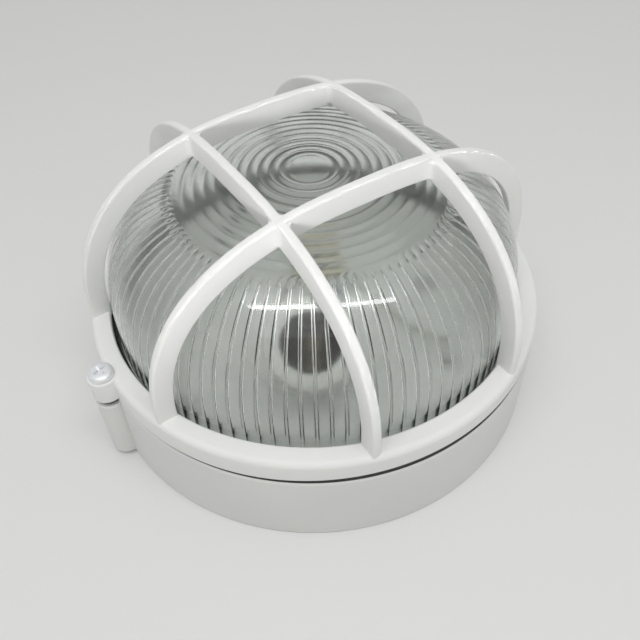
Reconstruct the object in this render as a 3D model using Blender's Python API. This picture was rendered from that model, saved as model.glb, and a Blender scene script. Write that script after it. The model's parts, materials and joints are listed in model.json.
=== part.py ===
"""Round bulkhead light: a cast body and cast guard clamp a ribbed glass dome over an oblique lampholder."""

import math

import bmesh
import bpy
from mathutils import Matrix, Vector

# Clearances
TOUCH = 0.0003
SLIDE = 0.0005

# Body: a round cast pan whose back face lies on the wall at z = 0
BODY_HEIGHT = 0.0391
BODY_DRAFT = 0.0012
BODY_WALL = 0.0028
RIM_CLEARANCE = 0.0011
BODY_EDGE = 0.0008
FLOOR = 0.0030
FLOOR_FILLET = 0.0030
SHELF_DEPTH = 0.0029
SHELF_THICKNESS = 0.0032
INNER_WALL = 0.0026
INNER_WALL_DRAFT = 0.0012
PLATEAU_HEIGHT = 0.0030
PLATEAU_BLOCK_GAP = 0.0095

# Glass dome: a superellipse of revolution with a swelled crown, on a flat flange, ribbed on its inside
GLASS_RADIUS = 0.0940
GLASS_RISE = 0.0699
GLASS_SIDE_POWER = 3.246
GLASS_TOP_POWER = 3.135
CROWN_SWELL = 0.0013
CROWN_SWELL_RADIUS = 0.0540
GLASS_WALL = 0.0036
FLANGE_WIDTH = 0.0055
FLANGE_THICKNESS = 0.0040
FLUTES = 100
FLUTE_HEIGHT = 0.0006
FLUTE_FOOT = 0.0030
FLUTE_END_INSET = 0.0352
RINGS = 11
RINGS_INSET = 0.0016
CENTRE_DISC = 0.0080
RING_HEIGHT = 0.0004

# Gasket: a black rubber channel round the flange
GASKET_UNDER = 0.0025
GASKET_OVER = 0.0048
GASKET_OUTSIDE = 0.0016
GASKET_LIP = 0.0010

# Guard: one casting of a ring, four arched bars and two lugs
RING_INSET = 0.0003
RING_GLASS_GAP = 0.0021
RING_PLATE = 0.0035
RING_SKIRT = 0.0028
RING_TOP_ROUND = 0.0028
RING_INNER_ROUND = 0.0008
SKIRT_GAP = 0.0007
SKIRT_BOW = 0.0022
BAR_OFFSET = 0.0352
BAR_THICKNESS = 0.0040
BAR_EDGE = 0.0009
BAR_OVERHANG = 0.0016
BAR_GLASS_GAP = 0.0033
BAR_SIDE_POWER = 2.68
BAR_TOP_POWER = 2.414
BAR_CROWN_DEPTH = 0.0100
BAR_ROOT = 0.0020

# Lugs and their screws, on the X axis
LUG_RADIUS = 0.0064
LUG_DRAFT = 0.0006
LUG_OUT = 0.0019
LUG_GAP = 0.0022
LUG_BASE = 0.0025
LUG_WEB = 0.0056
LUG_WEB_FLARE = 0.0030
LUG_LIFT = 0.0003
LUG_INSET = 0.0006
SCREW_RADIUS = 0.0025
SCREW_HEAD_RADIUS = 0.0054
SCREW_HEAD_HEIGHT = 0.0027
SCREW_REACH = 0.0210
RECESS_WIDTH = 0.0013
RECESS_SPAN = 0.0058
RECESS_DEPTH = 0.0016
RETAINER_WIDTH = 0.0021

# Lampholder: porcelain, tilted up over the floor
HOLDER_HEADING = math.radians(235)
HOLDER_TILT = math.radians(60)
HOLDER_BACK_OUT = 0.0204
HOLDER_BACK_HEIGHT = 0.0151
HOLDER_LENGTH = 0.0380
HOLDER_RADIUS = 0.0220
HOLDER_NECK_RADIUS = 0.0140
HOLDER_NECK = 0.0120
HOLDER_SHOULDER = 0.0040
HOLDER_EDGE = 0.0015
HOLDER_LIP = 0.0015
SOCKET_FLOOR = 0.0100
SHELL_CREST_RADIUS = 0.0133
SHELL_THREAD = 0.0007
SHELL_SHEET = 0.0005
SHELL_TURNS = 4
CONTACT_WIDTH = 0.0070
CONTACT_LENGTH = 0.0180
CONTACT_SHEET = 0.0007
CONTACT_SPRING = 0.0035

# Lampholder terminals, one on each side of its neck
TERMINAL_WIDTH = 0.0060
TERMINAL_HEIGHT = 0.0080
TERMINAL_DEPTH = 0.0070
TERMINAL_FROM_BACK = 0.0025
TERMINAL_SCREW_RADIUS = 0.0015
TERMINAL_SCREW_HEAD = 0.0024
TERMINAL_SCREW_HEAD_HEIGHT = 0.0014

# Bracket: one bent steel strip between the floor and the lampholder's back
STRIP = 0.0015
STRIP_WIDTH = 0.0240
STRIP_BACK = 0.0110
STRIP_TOP_MARGIN = 0.0010
STRIP_SCREW_FROM_END = 0.0060
STRIP_SCREW_SPREAD = 0.0070
HOLDER_SCREW_SPREAD = 0.0080
SMALL_SCREW_RADIUS = 0.0018
SMALL_HEAD_RADIUS = 0.0034
SMALL_HEAD_HEIGHT = 0.0020
SMALL_SCREW_IN_FLOOR = 0.0040
SMALL_SCREW_IN_HOLDER = 0.0055

# Screw heads; the shares are of the head's own radius or height
SLOT_WIDTH = 0.0009
SLOT_DEPTH = 0.0009
CHEESE_BEVEL_SHARE = 0.25
PAN_CROWN_SHARE = 0.55
PAN_SHOULDER_RADIUS_SHARE = 0.86
PAN_SHOULDER_DROP_SHARE = 0.35
PAN_TOP_RADIUS_SHARE = 0.5
SCREW_TIP_SHARE = 0.6

# Terminal block opposite the lampholder
BLOCK_FROM_WALL = 0.0370
BLOCK_END = 0.0045
BLOCK_WIDTH = 0.0170
BLOCK_HEIGHT = 0.0140
BLOCK_PAD = 0.0020
BLOCK_EDGE = 0.0010
POLE_PITCH = 0.0095
POLE_HEIGHT = 0.0060
TUBE_RADIUS = 0.0029
TUBE_BORE = 0.0017
TUBE_LENGTH = 0.0150
POLE_SCREW_SPREAD = 0.0046
POLE_SCREW_RADIUS = 0.0016
POLE_SCREW_HEAD = 0.0021
BLOCK_SCREW_RADIUS = 0.0012
BLOCK_SCREW_HEAD = 0.0018

# Wires between the terminal block, the lampholder and the earth screw
WIRE_RADIUS = 0.0012
WIRE_STEP = 0.0055
WIRE_IN_TUBE = 0.0020
WIRE_IN_TERMINAL = 0.0015
WIRE_LEAD = 0.0143
WIRE_LEAD_RISE = 0.0005
WIRE_SPREAD = 0.0040
EARTH_WIRE_BEND = (0.0260, 0.0310)
EARTH_WIRE_SWAY = (0.0067, -0.0008, 0)

# Earth point on the floor
EARTH_HEADING = math.radians(313)
EARTH_FROM_WALL = 0.0230
EARTH_BOSS_RADIUS = 0.0050
EARTH_BOSS_HEIGHT = 0.0035
EARTH_WASHER_RADIUS = 0.0045
EARTH_WASHER = 0.0010

# Cable entry through the wall at the back
ENTRY_HEIGHT = 0.0190
ENTRY_BOSS_RADIUS = 0.0125
ENTRY_BOSS_PROUD = 0.0010
ENTRY_BORE = 0.0080
ENTRY_SHOULDER_BORE = 0.0055
ENTRY_SHOULDER = 0.0030
SEAL_LENGTH = 0.0040
SEAL_BORE = 0.0036
ENTRY_WASHER = 0.0012
NUT_FLATS_RADIUS = 0.0112
NUT_THICKNESS = 0.0065
NUT_BORE = 0.0046

# Wall fixing holes with rubber grommets
FIXING_FROM_WALL = 0.0180
FIXING_HOLE = 0.0043
GROMMET_FLANGE = 0.0066
GROMMET_THICKNESS = 0.0016
GROMMET_BORE = 0.0024

# Facets
SHARP_ANGLE = math.radians(35)
BIG_ROUND = 60
GLASS_ROUND = 50
CROWN_ROUND = 50
OUTER_ROWS = 12
OUTER_ROW_POWER = 1.3
FLUTE_ROWS = 5
ARCH_STEPS = 24
CROSSING_STEPS = 22
ARCH_NUDGE = 0.01
RING_ROUND_STEPS = 3
LUG_ROUND = 20
LUG_STEPS = 10
LUG_WRAP = 100
HOLDER_ROUND = 28
SCREW_ROUND = 16
SMALL_ROUND = 8
WIRE_ROUND_STEPS = 2

# Radii that follow from the glass outwards
FLANGE_RADIUS = GLASS_RADIUS + FLANGE_WIDTH
GASKET_RADIUS = FLANGE_RADIUS + TOUCH + GASKET_OUTSIDE
RIM_INNER_RADIUS = GASKET_RADIUS + RIM_CLEARANCE
BODY_TOP_RADIUS = RIM_INNER_RADIUS + BODY_WALL
BODY_BASE_RADIUS = BODY_TOP_RADIUS + BODY_DRAFT
INNER_WALL_RADIUS = GLASS_RADIUS - GASKET_LIP
RING_RADIUS = BODY_TOP_RADIUS - RING_INSET
SKIRT_INNER_RADIUS = RING_RADIUS - RING_SKIRT
RING_OPENING = GLASS_RADIUS + RING_GLASS_GAP
BAR_HALF_SPAN = RING_OPENING + BAR_OVERHANG
LUG_CENTRE = BODY_TOP_RADIUS + LUG_OUT
SCREW_HOLE = SCREW_RADIUS + TOUCH
RETAINER_RADIUS = SCREW_HOLE + RETAINER_WIDTH
FLUTE_END_RADIUS = GLASS_RADIUS - FLUTE_END_INSET
RINGS_START = FLUTE_END_RADIUS - RINGS_INSET
RING_PITCH = (RINGS_START - CENTRE_DISC) / RINGS
BLOCK_LENGTH = 2 * (POLE_PITCH + BLOCK_END)
BLOCK_DISTANCE = INNER_WALL_RADIUS - BLOCK_FROM_WALL
PLATEAU_RADIUS = BLOCK_DISTANCE - BLOCK_WIDTH / 2 - PLATEAU_BLOCK_GAP
EARTH_DISTANCE = INNER_WALL_RADIUS - EARTH_FROM_WALL
FIXING_DISTANCE = INNER_WALL_RADIUS - FIXING_FROM_WALL

# Heights that follow from the body upwards
SHELF_Z = BODY_HEIGHT - SHELF_DEPTH
GASKET_BOTTOM = SHELF_Z + TOUCH
FLANGE_BOTTOM = GASKET_BOTTOM + GASKET_UNDER + TOUCH
FLANGE_TOP = FLANGE_BOTTOM + FLANGE_THICKNESS
GASKET_TOP = FLANGE_TOP + TOUCH + GASKET_OVER
PLATE_BOTTOM = GASKET_TOP + TOUCH
RING_TOP = PLATE_BOTTOM + RING_PLATE
BAR_RISE = FLANGE_TOP + GLASS_RISE + BAR_GLASS_GAP + BAR_CROWN_DEPTH - RING_TOP
SKIRT_BOTTOM = BODY_HEIGHT + SKIRT_GAP
LUG_LOWER_TOP = SKIRT_BOTTOM - LUG_GAP
PLATEAU_Z = FLOOR + PLATEAU_HEIGHT

# Lampholder frame: +X along the heading, +Z up, and the socket's own axis tilted in that plane
HEADING_FRAME = Matrix.Rotation(HOLDER_HEADING, 4, "Z")
SOCKET_FRAME = (
    HEADING_FRAME
    @ Matrix.Translation((HOLDER_BACK_OUT, 0, HOLDER_BACK_HEIGHT))
    @ Matrix.Rotation(math.pi / 2 - HOLDER_TILT, 4, "Y")
)
BLOCK_FRAME = HEADING_FRAME @ Matrix.Translation((-BLOCK_DISTANCE, 0, FLOOR))
EARTH_FRAME = Matrix.Rotation(EARTH_HEADING, 4, "Z") @ Matrix.Translation((EARTH_DISTANCE, 0, FLOOR))
ENTRY_FRAME = Matrix.Translation((0, 0, ENTRY_HEIGHT)) @ Matrix.Rotation(-math.pi / 2, 4, "X")


def clear_scene():
    for item in list(bpy.data.objects):
        bpy.data.objects.remove(item, do_unlink=True)


def make_material(name, colour, roughness, metallic=0.0, transmission=0.0):
    material = bpy.data.materials.new(name)
    material.use_nodes = True
    shader = material.node_tree.nodes["Principled BSDF"]
    shader.inputs["Base Color"].default_value = (*colour, 1.0)
    shader.inputs["Roughness"].default_value = roughness
    shader.inputs["Metallic"].default_value = metallic
    shader.inputs["Transmission Weight"].default_value = transmission
    return material


def add_object(name, mesh_data, material=None, frame=None):
    item = bpy.data.objects.new(name, mesh_data)
    bpy.context.collection.objects.link(item)
    if frame is not None:
        item.matrix_world = frame
    if material is not None:
        mesh_data.materials.append(material)
    return item


def finish_mesh(name, shape, smooth=True):
    """Turn a bmesh into a mesh with outward faces and smooth shading between its edges."""
    bmesh.ops.recalc_face_normals(shape, faces=shape.faces)
    mesh = bpy.data.meshes.new(name)
    shape.to_mesh(mesh)
    shape.free()
    if smooth:
        mesh.shade_smooth()
        mesh.set_sharp_from_angle(angle=SHARP_ANGLE)
    return mesh


def stitch(shape, lower, upper):
    """Join two loops of vertices; the longer one has a whole number of points for each of the shorter."""
    if len(lower) > len(upper):
        lower, upper = upper, lower
    count = len(lower)
    share = len(upper) // count
    for index in range(count):
        near = lower[index]
        after = lower[(index + 1) % count]
        run = [upper[(index * share + step) % len(upper)] for step in range(share + 1)]
        if share == 1:
            shape.faces.new((near, after, run[1], run[0]))
        else:
            middle = share // 2
            for step in range(share):
                corner = near if step < middle else after
                shape.faces.new((corner, run[step], run[step + 1]))
            shape.faces.new((near, after, run[middle]))


def loop_of(shape, count, radius_at, height_at):
    turn = 2 * math.pi / count
    return [
        shape.verts.new((
            radius_at(step) * math.cos(turn * step),
            radius_at(step) * math.sin(turn * step),
            height_at(step),
        ))
        for step in range(count)
    ]


def fan(shape, centre, loop):
    for index, vertex in enumerate(loop):
        shape.faces.new((centre, vertex, loop[(index + 1) % len(loop)]))


def turned(profile, count):
    """Spin an outline of (radius, height) points round Z; a point on the axis means a flat cap."""
    shape = bmesh.new()
    loops = []
    for radius, height in profile:
        if radius == 0:
            loops.append(None)
        else:
            loops.append(loop_of(shape, count, lambda step, r=radius: r, lambda step, z=height: z))
    for index, loop in enumerate(loops):
        after = loops[(index + 1) % len(loops)]
        if loop is not None and after is not None:
            stitch(shape, loop, after)
        elif loop is not None or after is not None:
            shape.faces.new(loop or after)
    return shape


def rod(radius, bottom, top, count, top_radius=None):
    end_radius = radius if top_radius is None else top_radius
    return turned([(0, bottom), (radius, bottom), (end_radius, top), (0, top)], count)


def tube(bore, radius, bottom, top, count):
    return turned([(bore, bottom), (radius, bottom), (radius, top), (bore, top)], count)


def block(low, high):
    shape = bmesh.new()
    size = Vector(high) - Vector(low)
    middle = (Vector(high) + Vector(low)) / 2
    bmesh.ops.create_cube(shape, size=1.0, matrix=Matrix.Translation(middle) @ Matrix.Diagonal((*size, 1)))
    return shape


def extruded(outline, depth):
    """Closed prism of an (x, z) outline, extruded to both sides of the XZ plane."""
    shape = bmesh.new()
    vertices = [shape.verts.new((x, -depth / 2, z)) for x, z in outline]
    face = shape.faces.new(vertices)
    grown = bmesh.ops.extrude_face_region(shape, geom=[face])
    moved = [item for item in grown["geom"] if isinstance(item, bmesh.types.BMVert)]
    bmesh.ops.translate(shape, verts=moved, vec=(0, depth, 0))
    return shape


def placed(shape, frame):
    bmesh.ops.transform(shape, matrix=frame, verts=shape.verts)
    return shape


def merged(shapes):
    """Put closed shapes that don't touch each other into one bmesh."""
    whole = shapes[0]
    for extra in shapes[1:]:
        mesh = bpy.data.meshes.new("scratch")
        extra.to_mesh(mesh)
        extra.free()
        whole.from_mesh(mesh)
        bpy.data.meshes.remove(mesh)
    return whole


def combine(item, name, shape, operation):
    """Add or cut a shape with a Boolean; the helper stays in the file as a hidden guide."""
    helper = add_object(name, finish_mesh(name, shape, smooth=False), frame=item.matrix_world)
    helper.hide_render = True
    helper.display_type = "WIRE"
    modifier = item.modifiers.new(name, "BOOLEAN")
    modifier.operation = operation
    modifier.solver = "EXACT"
    modifier.object = helper


def arc(centre, radius, start, end, steps):
    """Points of a circular arc, angles in degrees."""
    points = []
    for step in range(steps + 1):
        angle = math.radians(start + (end - start) * step / steps)
        points.append((centre[0] + radius * math.cos(angle), centre[1] + radius * math.sin(angle)))
    return points


def pan_head_profile(shank, head_radius, head_height, length):
    """Outline of a screw that hangs from the underside of its head at z = 0."""
    crown = head_height * PAN_CROWN_SHARE
    tip = shank * SCREW_TIP_SHARE
    outline = [(0, -length), (tip, -length), (shank, -length + tip), (shank, 0), (head_radius, 0)]
    outline.append((head_radius, head_height - crown))
    shoulder = head_height - crown * PAN_SHOULDER_DROP_SHARE
    outline.append((head_radius * PAN_SHOULDER_RADIUS_SHARE, shoulder))
    outline.append((head_radius * PAN_TOP_RADIUS_SHARE, head_height))
    outline.append((0, head_height))
    return outline


def cheese_head_profile(shank, head_radius, head_height, length):
    bevel = head_height * CHEESE_BEVEL_SHARE
    return [
        (0, -length),
        (shank, -length),
        (shank, 0),
        (head_radius, 0),
        (head_radius, head_height - bevel),
        (head_radius - bevel, head_height),
        (0, head_height),
    ]


def recess_arm(turn, head_height):
    """One slot of a cross recess, narrower at its bottom, as a cutter."""
    outline = [
        (-RECESS_SPAN / 2, head_height + RECESS_DEPTH),
        (-RECESS_SPAN / 4, head_height - RECESS_DEPTH),
        (RECESS_SPAN / 4, head_height - RECESS_DEPTH),
        (RECESS_SPAN / 2, head_height + RECESS_DEPTH),
    ]
    return placed(extruded(outline, RECESS_WIDTH), Matrix.Rotation(turn, 4, "Z"))


def wall_radius(height):
    """Outside radius of the drafted body wall at a height."""
    share = height / BODY_HEIGHT
    return BODY_BASE_RADIUS + (BODY_TOP_RADIUS - BODY_BASE_RADIUS) * share


def body_profile():
    """Section of the pan: outer wall, gasket shelf, inner wall, floor, and the channel open at the back."""
    channel_top = SHELF_Z - SHELF_THICKNESS
    floor_wall = INNER_WALL_RADIUS - INNER_WALL_DRAFT
    return [
        (wall_radius(0) - BODY_EDGE, 0),
        (wall_radius(BODY_EDGE), BODY_EDGE),
        (wall_radius(BODY_HEIGHT - BODY_EDGE), BODY_HEIGHT - BODY_EDGE),
        (BODY_TOP_RADIUS - BODY_EDGE, BODY_HEIGHT),
        (RIM_INNER_RADIUS, BODY_HEIGHT),
        (RIM_INNER_RADIUS, SHELF_Z),
        (INNER_WALL_RADIUS, SHELF_Z),
        (floor_wall, FLOOR + FLOOR_FILLET),
        (floor_wall - FLOOR_FILLET, FLOOR),
        (PLATEAU_RADIUS + PLATEAU_HEIGHT / 3, FLOOR),
        (PLATEAU_RADIUS, PLATEAU_Z),
        (0, PLATEAU_Z),
        (0, 0),
        (floor_wall + INNER_WALL, 0),
        (INNER_WALL_RADIUS + INNER_WALL, channel_top),
        (wall_radius(channel_top) - BODY_WALL, channel_top),
        (wall_radius(0) - BODY_WALL, 0),
    ]


def lug(inner, bottom, top, draft, flare):
    """Round lug tied to the wall beside it by a web; both grow a little towards the bottom."""
    shape = bmesh.new()
    loops = []
    for height, more, wider in ((bottom, draft, flare), (top, 0, 0)):
        outline = [(inner, -LUG_WEB - wider)]
        outline += arc((LUG_CENTRE, 0), LUG_RADIUS + more, -LUG_WRAP, LUG_WRAP, LUG_STEPS)
        outline.append((inner, LUG_WEB + wider))
        loops.append([shape.verts.new((x, y, height)) for x, y in outline])
    stitch(shape, loops[0], loops[1])
    for loop in loops:
        shape.faces.new(loop)
    return shape


def both_sides(build):
    """A shape made at +X and its twin turned to -X."""
    turns = (("right", 0), ("left", math.pi))
    return [(name, placed(build(), Matrix.Rotation(turn, 4, "Z"))) for name, turn in turns]


def base_body(paint):
    item = add_object("base_body", finish_mesh("base_body", turned(body_profile(), BIG_ROUND)), paint)
    inner = BODY_TOP_RADIUS - LUG_INSET
    for name, shape in both_sides(lambda: lug(inner, LUG_BASE, LUG_LOWER_TOP, LUG_DRAFT, LUG_WEB_FLARE)):
        combine(item, "body_lug_" + name, shape, "UNION")
    boss_end = wall_radius(ENTRY_HEIGHT) + ENTRY_BOSS_PROUD
    boss = rod(ENTRY_BOSS_RADIUS, INNER_WALL_RADIUS - ENTRY_SHOULDER / 2, boss_end, LUG_ROUND)
    combine(item, "entry_boss", placed(boss, ENTRY_FRAME), "UNION")
    pillar = placed(block(
        (-BLOCK_WIDTH / 2, -BLOCK_LENGTH / 2, -FLOOR / 2), (BLOCK_WIDTH / 2, BLOCK_LENGTH / 2, BLOCK_PAD),
    ), BLOCK_FRAME)
    combine(item, "block_pad", pillar, "UNION")
    earth = rod(EARTH_BOSS_RADIUS, -FLOOR / 2, EARTH_BOSS_HEIGHT, SCREW_ROUND)
    combine(item, "earth_boss", placed(earth, EARTH_FRAME), "UNION")
    combine(item, "body_holes", body_holes(), "DIFFERENCE")
    return item


def body_holes():
    """Every hole in the body, as one cutter of separate closed shapes."""
    screw_floor = RING_TOP + TOUCH - SCREW_REACH - LUG_GAP - RING_PLATE
    spot_face = LUG_LOWER_TOP + TOUCH / 2
    screw_way = [
        (0, screw_floor),
        (SCREW_HOLE, screw_floor),
        (SCREW_HOLE, spot_face),
        (RETAINER_RADIUS + TOUCH, spot_face),
        (RETAINER_RADIUS + TOUCH, BODY_HEIGHT + LUG_GAP),
        (0, BODY_HEIGHT + LUG_GAP),
    ]
    cuts = [shape for _, shape in both_sides(lambda: placed(
        turned(screw_way, SCREW_ROUND), Matrix.Translation((LUG_CENTRE, 0, 0)),
    ))]
    cuts += [shape for _, shape in both_sides(lambda: placed(
        rod(FIXING_HOLE, -FLOOR, FLOOR * 2, SCREW_ROUND), Matrix.Translation((FIXING_DISTANCE, 0, 0)),
    ))]
    boss_start = INNER_WALL_RADIUS - ENTRY_SHOULDER / 2
    boss_end = wall_radius(ENTRY_HEIGHT) + ENTRY_BOSS_PROUD
    entry = turned([
        (0, boss_start - ENTRY_SHOULDER),
        (ENTRY_SHOULDER_BORE, boss_start - ENTRY_SHOULDER),
        (ENTRY_SHOULDER_BORE, boss_start + ENTRY_SHOULDER),
        (ENTRY_BORE, boss_start + ENTRY_SHOULDER),
        (ENTRY_BORE, boss_end + ENTRY_SHOULDER),
        (0, boss_end + ENTRY_SHOULDER),
    ], LUG_ROUND)
    cuts.append(placed(entry, ENTRY_FRAME))
    earth_depth = EARTH_BOSS_HEIGHT - SMALL_SCREW_IN_FLOOR - TOUCH
    earth = rod(SMALL_SCREW_RADIUS + TOUCH, earth_depth, EARTH_BOSS_HEIGHT + FLOOR, SMALL_ROUND)
    cuts.append(placed(earth, EARTH_FRAME))
    for side in (-1, 1):
        hole = rod(BLOCK_SCREW_RADIUS + TOUCH, -FLOOR / 2, BLOCK_PAD + FLOOR, SMALL_ROUND)
        placed(hole, Matrix.Translation((0, side * POLE_PITCH / 2, 0)))
        cuts.append(placed(hole, BLOCK_FRAME))
        depth = PLATEAU_Z - SMALL_SCREW_IN_FLOOR - TOUCH
        hole = rod(SMALL_SCREW_RADIUS + TOUCH, depth, PLATEAU_Z + FLOOR, SMALL_ROUND)
        spot = (STRIP_SCREW_FROM_END - STRIP_BACK, side * STRIP_SCREW_SPREAD, 0)
        placed(hole, Matrix.Translation(spot))
        cuts.append(placed(hole, HEADING_FRAME))
    return merged(cuts)


def guard_ring():
    """Turned ring whose skirt bows up between the two lugs."""
    profile = [(SKIRT_INNER_RADIUS, SKIRT_BOTTOM), (RING_RADIUS, SKIRT_BOTTOM)]
    outer_corner = (RING_RADIUS - RING_TOP_ROUND, RING_TOP - RING_TOP_ROUND)
    profile += arc(outer_corner, RING_TOP_ROUND, 0, 90, RING_ROUND_STEPS)
    inner_corner = (RING_OPENING + RING_INNER_ROUND, RING_TOP - RING_INNER_ROUND)
    profile += arc(inner_corner, RING_INNER_ROUND, 90, 180, 1)
    profile += [(RING_OPENING, PLATE_BOTTOM), (SKIRT_INNER_RADIUS, PLATE_BOTTOM)]
    shape = turned(profile, BIG_ROUND)
    for vertex in shape.verts:
        if abs(vertex.co.z - SKIRT_BOTTOM) < TOUCH / 10:
            across = vertex.co.y / math.hypot(vertex.co.x, vertex.co.y)
            vertex.co.z += SKIRT_BOW * across ** 2
    return shape


def arch_point(share):
    """Outer edge of a bar, from its foot at share 0 to its foot at share 1."""
    angle = math.pi * share
    side = math.copysign(abs(math.cos(angle)) ** (2 / BAR_SIDE_POWER), math.cos(angle))
    rise = abs(math.sin(angle)) ** (2 / BAR_TOP_POWER)
    return Vector((BAR_HALF_SPAN * side, 0, RING_TOP + BAR_RISE * rise))


def guard_bar(steps):
    """One arched bar in the XZ plane, its inner edge offset from its outer one."""
    shape = bmesh.new()
    foot_depth = BAR_HALF_SPAN - math.sqrt(RING_OPENING ** 2 - BAR_OFFSET ** 2)
    half = BAR_THICKNESS / 2
    sections = []
    for step in range(-1, steps + 2):
        share = min(max(step / steps, 0), 1)
        outer = arch_point(share)
        if 0 < share < 1:
            along = arch_point(share + ARCH_NUDGE) - arch_point(share - ARCH_NUDGE)
            inward = Vector((along.z, 0, -along.x)).normalized()
            inward = inward if inward.dot(Vector((0, 0, RING_TOP)) - outer) > 0 else -inward
        else:
            inward = Vector((-math.copysign(1, outer.x), 0, 0))
            outer.z = RING_TOP if 0 <= step <= steps else RING_TOP - BAR_ROOT
        depth = foot_depth + (BAR_CROWN_DEPTH - foot_depth) * math.sin(math.pi * share)
        section = []
        for inset, across in (
            (depth, -half), (BAR_EDGE, -half), (0, BAR_EDGE - half),
            (0, half - BAR_EDGE), (BAR_EDGE, half), (depth, half),
        ):
            point = outer + inward * inset
            section.append(shape.verts.new((point.x, across, point.z)))
        sections.append(section)
    for near, far in zip(sections, sections[1:]):
        stitch(shape, near, far)
    shape.faces.new(sections[0])
    shape.faces.new(list(reversed(sections[-1])))
    return shape


def guard(paint):
    item = add_object("guard", finish_mesh("guard", guard_ring()), paint)
    for index in range(4):
        across = Matrix.Translation((0, BAR_OFFSET, 0))
        turn = Matrix.Rotation(index * math.pi / 2, 4, "Z")
        bar = guard_bar(CROSSING_STEPS if index % 2 else ARCH_STEPS)
        combine(item, f"guard_bar_{index}", placed(bar, turn @ across), "UNION")
    lug_bottom = SKIRT_BOTTOM + LUG_LIFT
    inner = RING_RADIUS - RING_TOP_ROUND + LUG_LIFT
    for name, shape in both_sides(lambda: lug(inner, lug_bottom, RING_TOP, 0, 0)):
        combine(item, "guard_lug_" + name, shape, "UNION")
    holes = [shape for _, shape in both_sides(lambda: placed(
        rod(SCREW_HOLE, lug_bottom - LUG_GAP, RING_TOP + LUG_GAP, SCREW_ROUND),
        Matrix.Translation((LUG_CENTRE, 0, 0)),
    ))]
    combine(item, "guard_holes", merged(holes), "DIFFERENCE")
    return item


def crown_swell(at_radius):
    """Extra height of the crown at a radius."""
    return CROWN_SWELL * max(0, 1 - (at_radius / CROWN_SWELL_RADIUS) ** 2) ** 2


def dome_height(radius, rise, at_radius):
    """Height of the section at a radius."""
    angle = math.acos(min(1, at_radius / radius) ** (GLASS_SIDE_POWER / 2))
    return FLANGE_TOP + rise * math.sin(angle) ** (2 / GLASS_TOP_POWER) + crown_swell(at_radius)


def dome_point(radius, rise, share):
    """Point of the section: share 0 at the foot, 1 at the top."""
    at_radius = radius * math.cos(math.pi / 2 * share) ** (2 / GLASS_SIDE_POWER)
    return at_radius, dome_height(radius, rise, at_radius)


def dome_share(radius, at_radius):
    return math.acos((at_radius / radius) ** (GLASS_SIDE_POWER / 2)) / (math.pi / 2)


def glass_dome(glass):
    """Smooth outside; inside, upright flutes up to the shoulder and round ridges on the crown."""
    shape = bmesh.new()
    inner_radius = GLASS_RADIUS - GLASS_WALL + FLUTE_HEIGHT / 2
    inner_rise = GLASS_RISE - GLASS_WALL + FLUTE_HEIGHT / 2
    flat = GLASS_ROUND
    loops = []
    for row in range(OUTER_ROWS):
        share = 1 - ((row + 1) / OUTER_ROWS) ** OUTER_ROW_POWER
        radius, height = dome_point(GLASS_RADIUS, GLASS_RISE, share)
        loops.append(loop_of(shape, flat, lambda step, r=radius: r, lambda step, z=height: z))
    flange = ((FLANGE_RADIUS, FLANGE_TOP), (FLANGE_RADIUS, FLANGE_BOTTOM), (inner_radius, FLANGE_BOTTOM))
    for radius, height in flange:
        loops.append(loop_of(shape, flat, lambda step, r=radius: r, lambda step, z=height: z))
    fluted = FLUTES * 2
    end_share = dome_share(inner_radius, FLUTE_END_RADIUS)
    for row in range(FLUTE_ROWS + 1):
        share = end_share * row / FLUTE_ROWS
        radius, height = dome_point(inner_radius, inner_rise, share)
        if row == 0:
            height = FLANGE_TOP - FLUTE_FOOT / 2
        crest = FLUTE_HEIGHT if 0 < row < FLUTE_ROWS else FLUTE_HEIGHT / 2
        lean = share * share
        loops.append(loop_of(
            shape, fluted,
            lambda step, r=radius, c=crest, k=lean: r - (step % 2) * c * (1 - k),
            lambda step, z=height, c=crest, k=lean: z - (step % 2) * c * k,
        ))
    for half_step in range(RINGS * 2 + 1):
        radius = RINGS_START - half_step * RING_PITCH / 2
        height = dome_height(inner_radius, inner_rise, radius) - (half_step % 2) * RING_HEIGHT
        loops.append(loop_of(shape, CROWN_ROUND, lambda step, r=radius: r, lambda step, z=height: z))
    for near, far in zip(loops, loops[1:]):
        stitch(shape, near, far)
    top = shape.verts.new((0, 0, dome_height(GLASS_RADIUS, GLASS_RISE, 0)))
    fan(shape, top, loops[0])
    under = shape.verts.new((0, 0, dome_height(inner_radius, inner_rise, 0)))
    fan(shape, under, loops[-1])
    return add_object("glass_dome", finish_mesh("glass_dome", shape), glass)


def gasket(rubber):
    """Rubber channel: a foot under the flange, an outer wall and a thick lip over it."""
    lip = GLASS_RADIUS + GASKET_LIP
    foot = INNER_WALL_RADIUS + TOUCH
    slot = FLANGE_RADIUS + TOUCH
    profile = [
        (foot, GASKET_BOTTOM),
        (GASKET_RADIUS, GASKET_BOTTOM),
        (GASKET_RADIUS, GASKET_TOP),
        (lip, GASKET_TOP),
        (lip, FLANGE_TOP + TOUCH),
        (slot, FLANGE_TOP + TOUCH),
        (slot, FLANGE_BOTTOM - TOUCH),
        (foot, FLANGE_BOTTOM - TOUCH),
    ]
    return add_object("gasket", finish_mesh("gasket", turned(profile, BIG_ROUND)), rubber)


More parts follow.
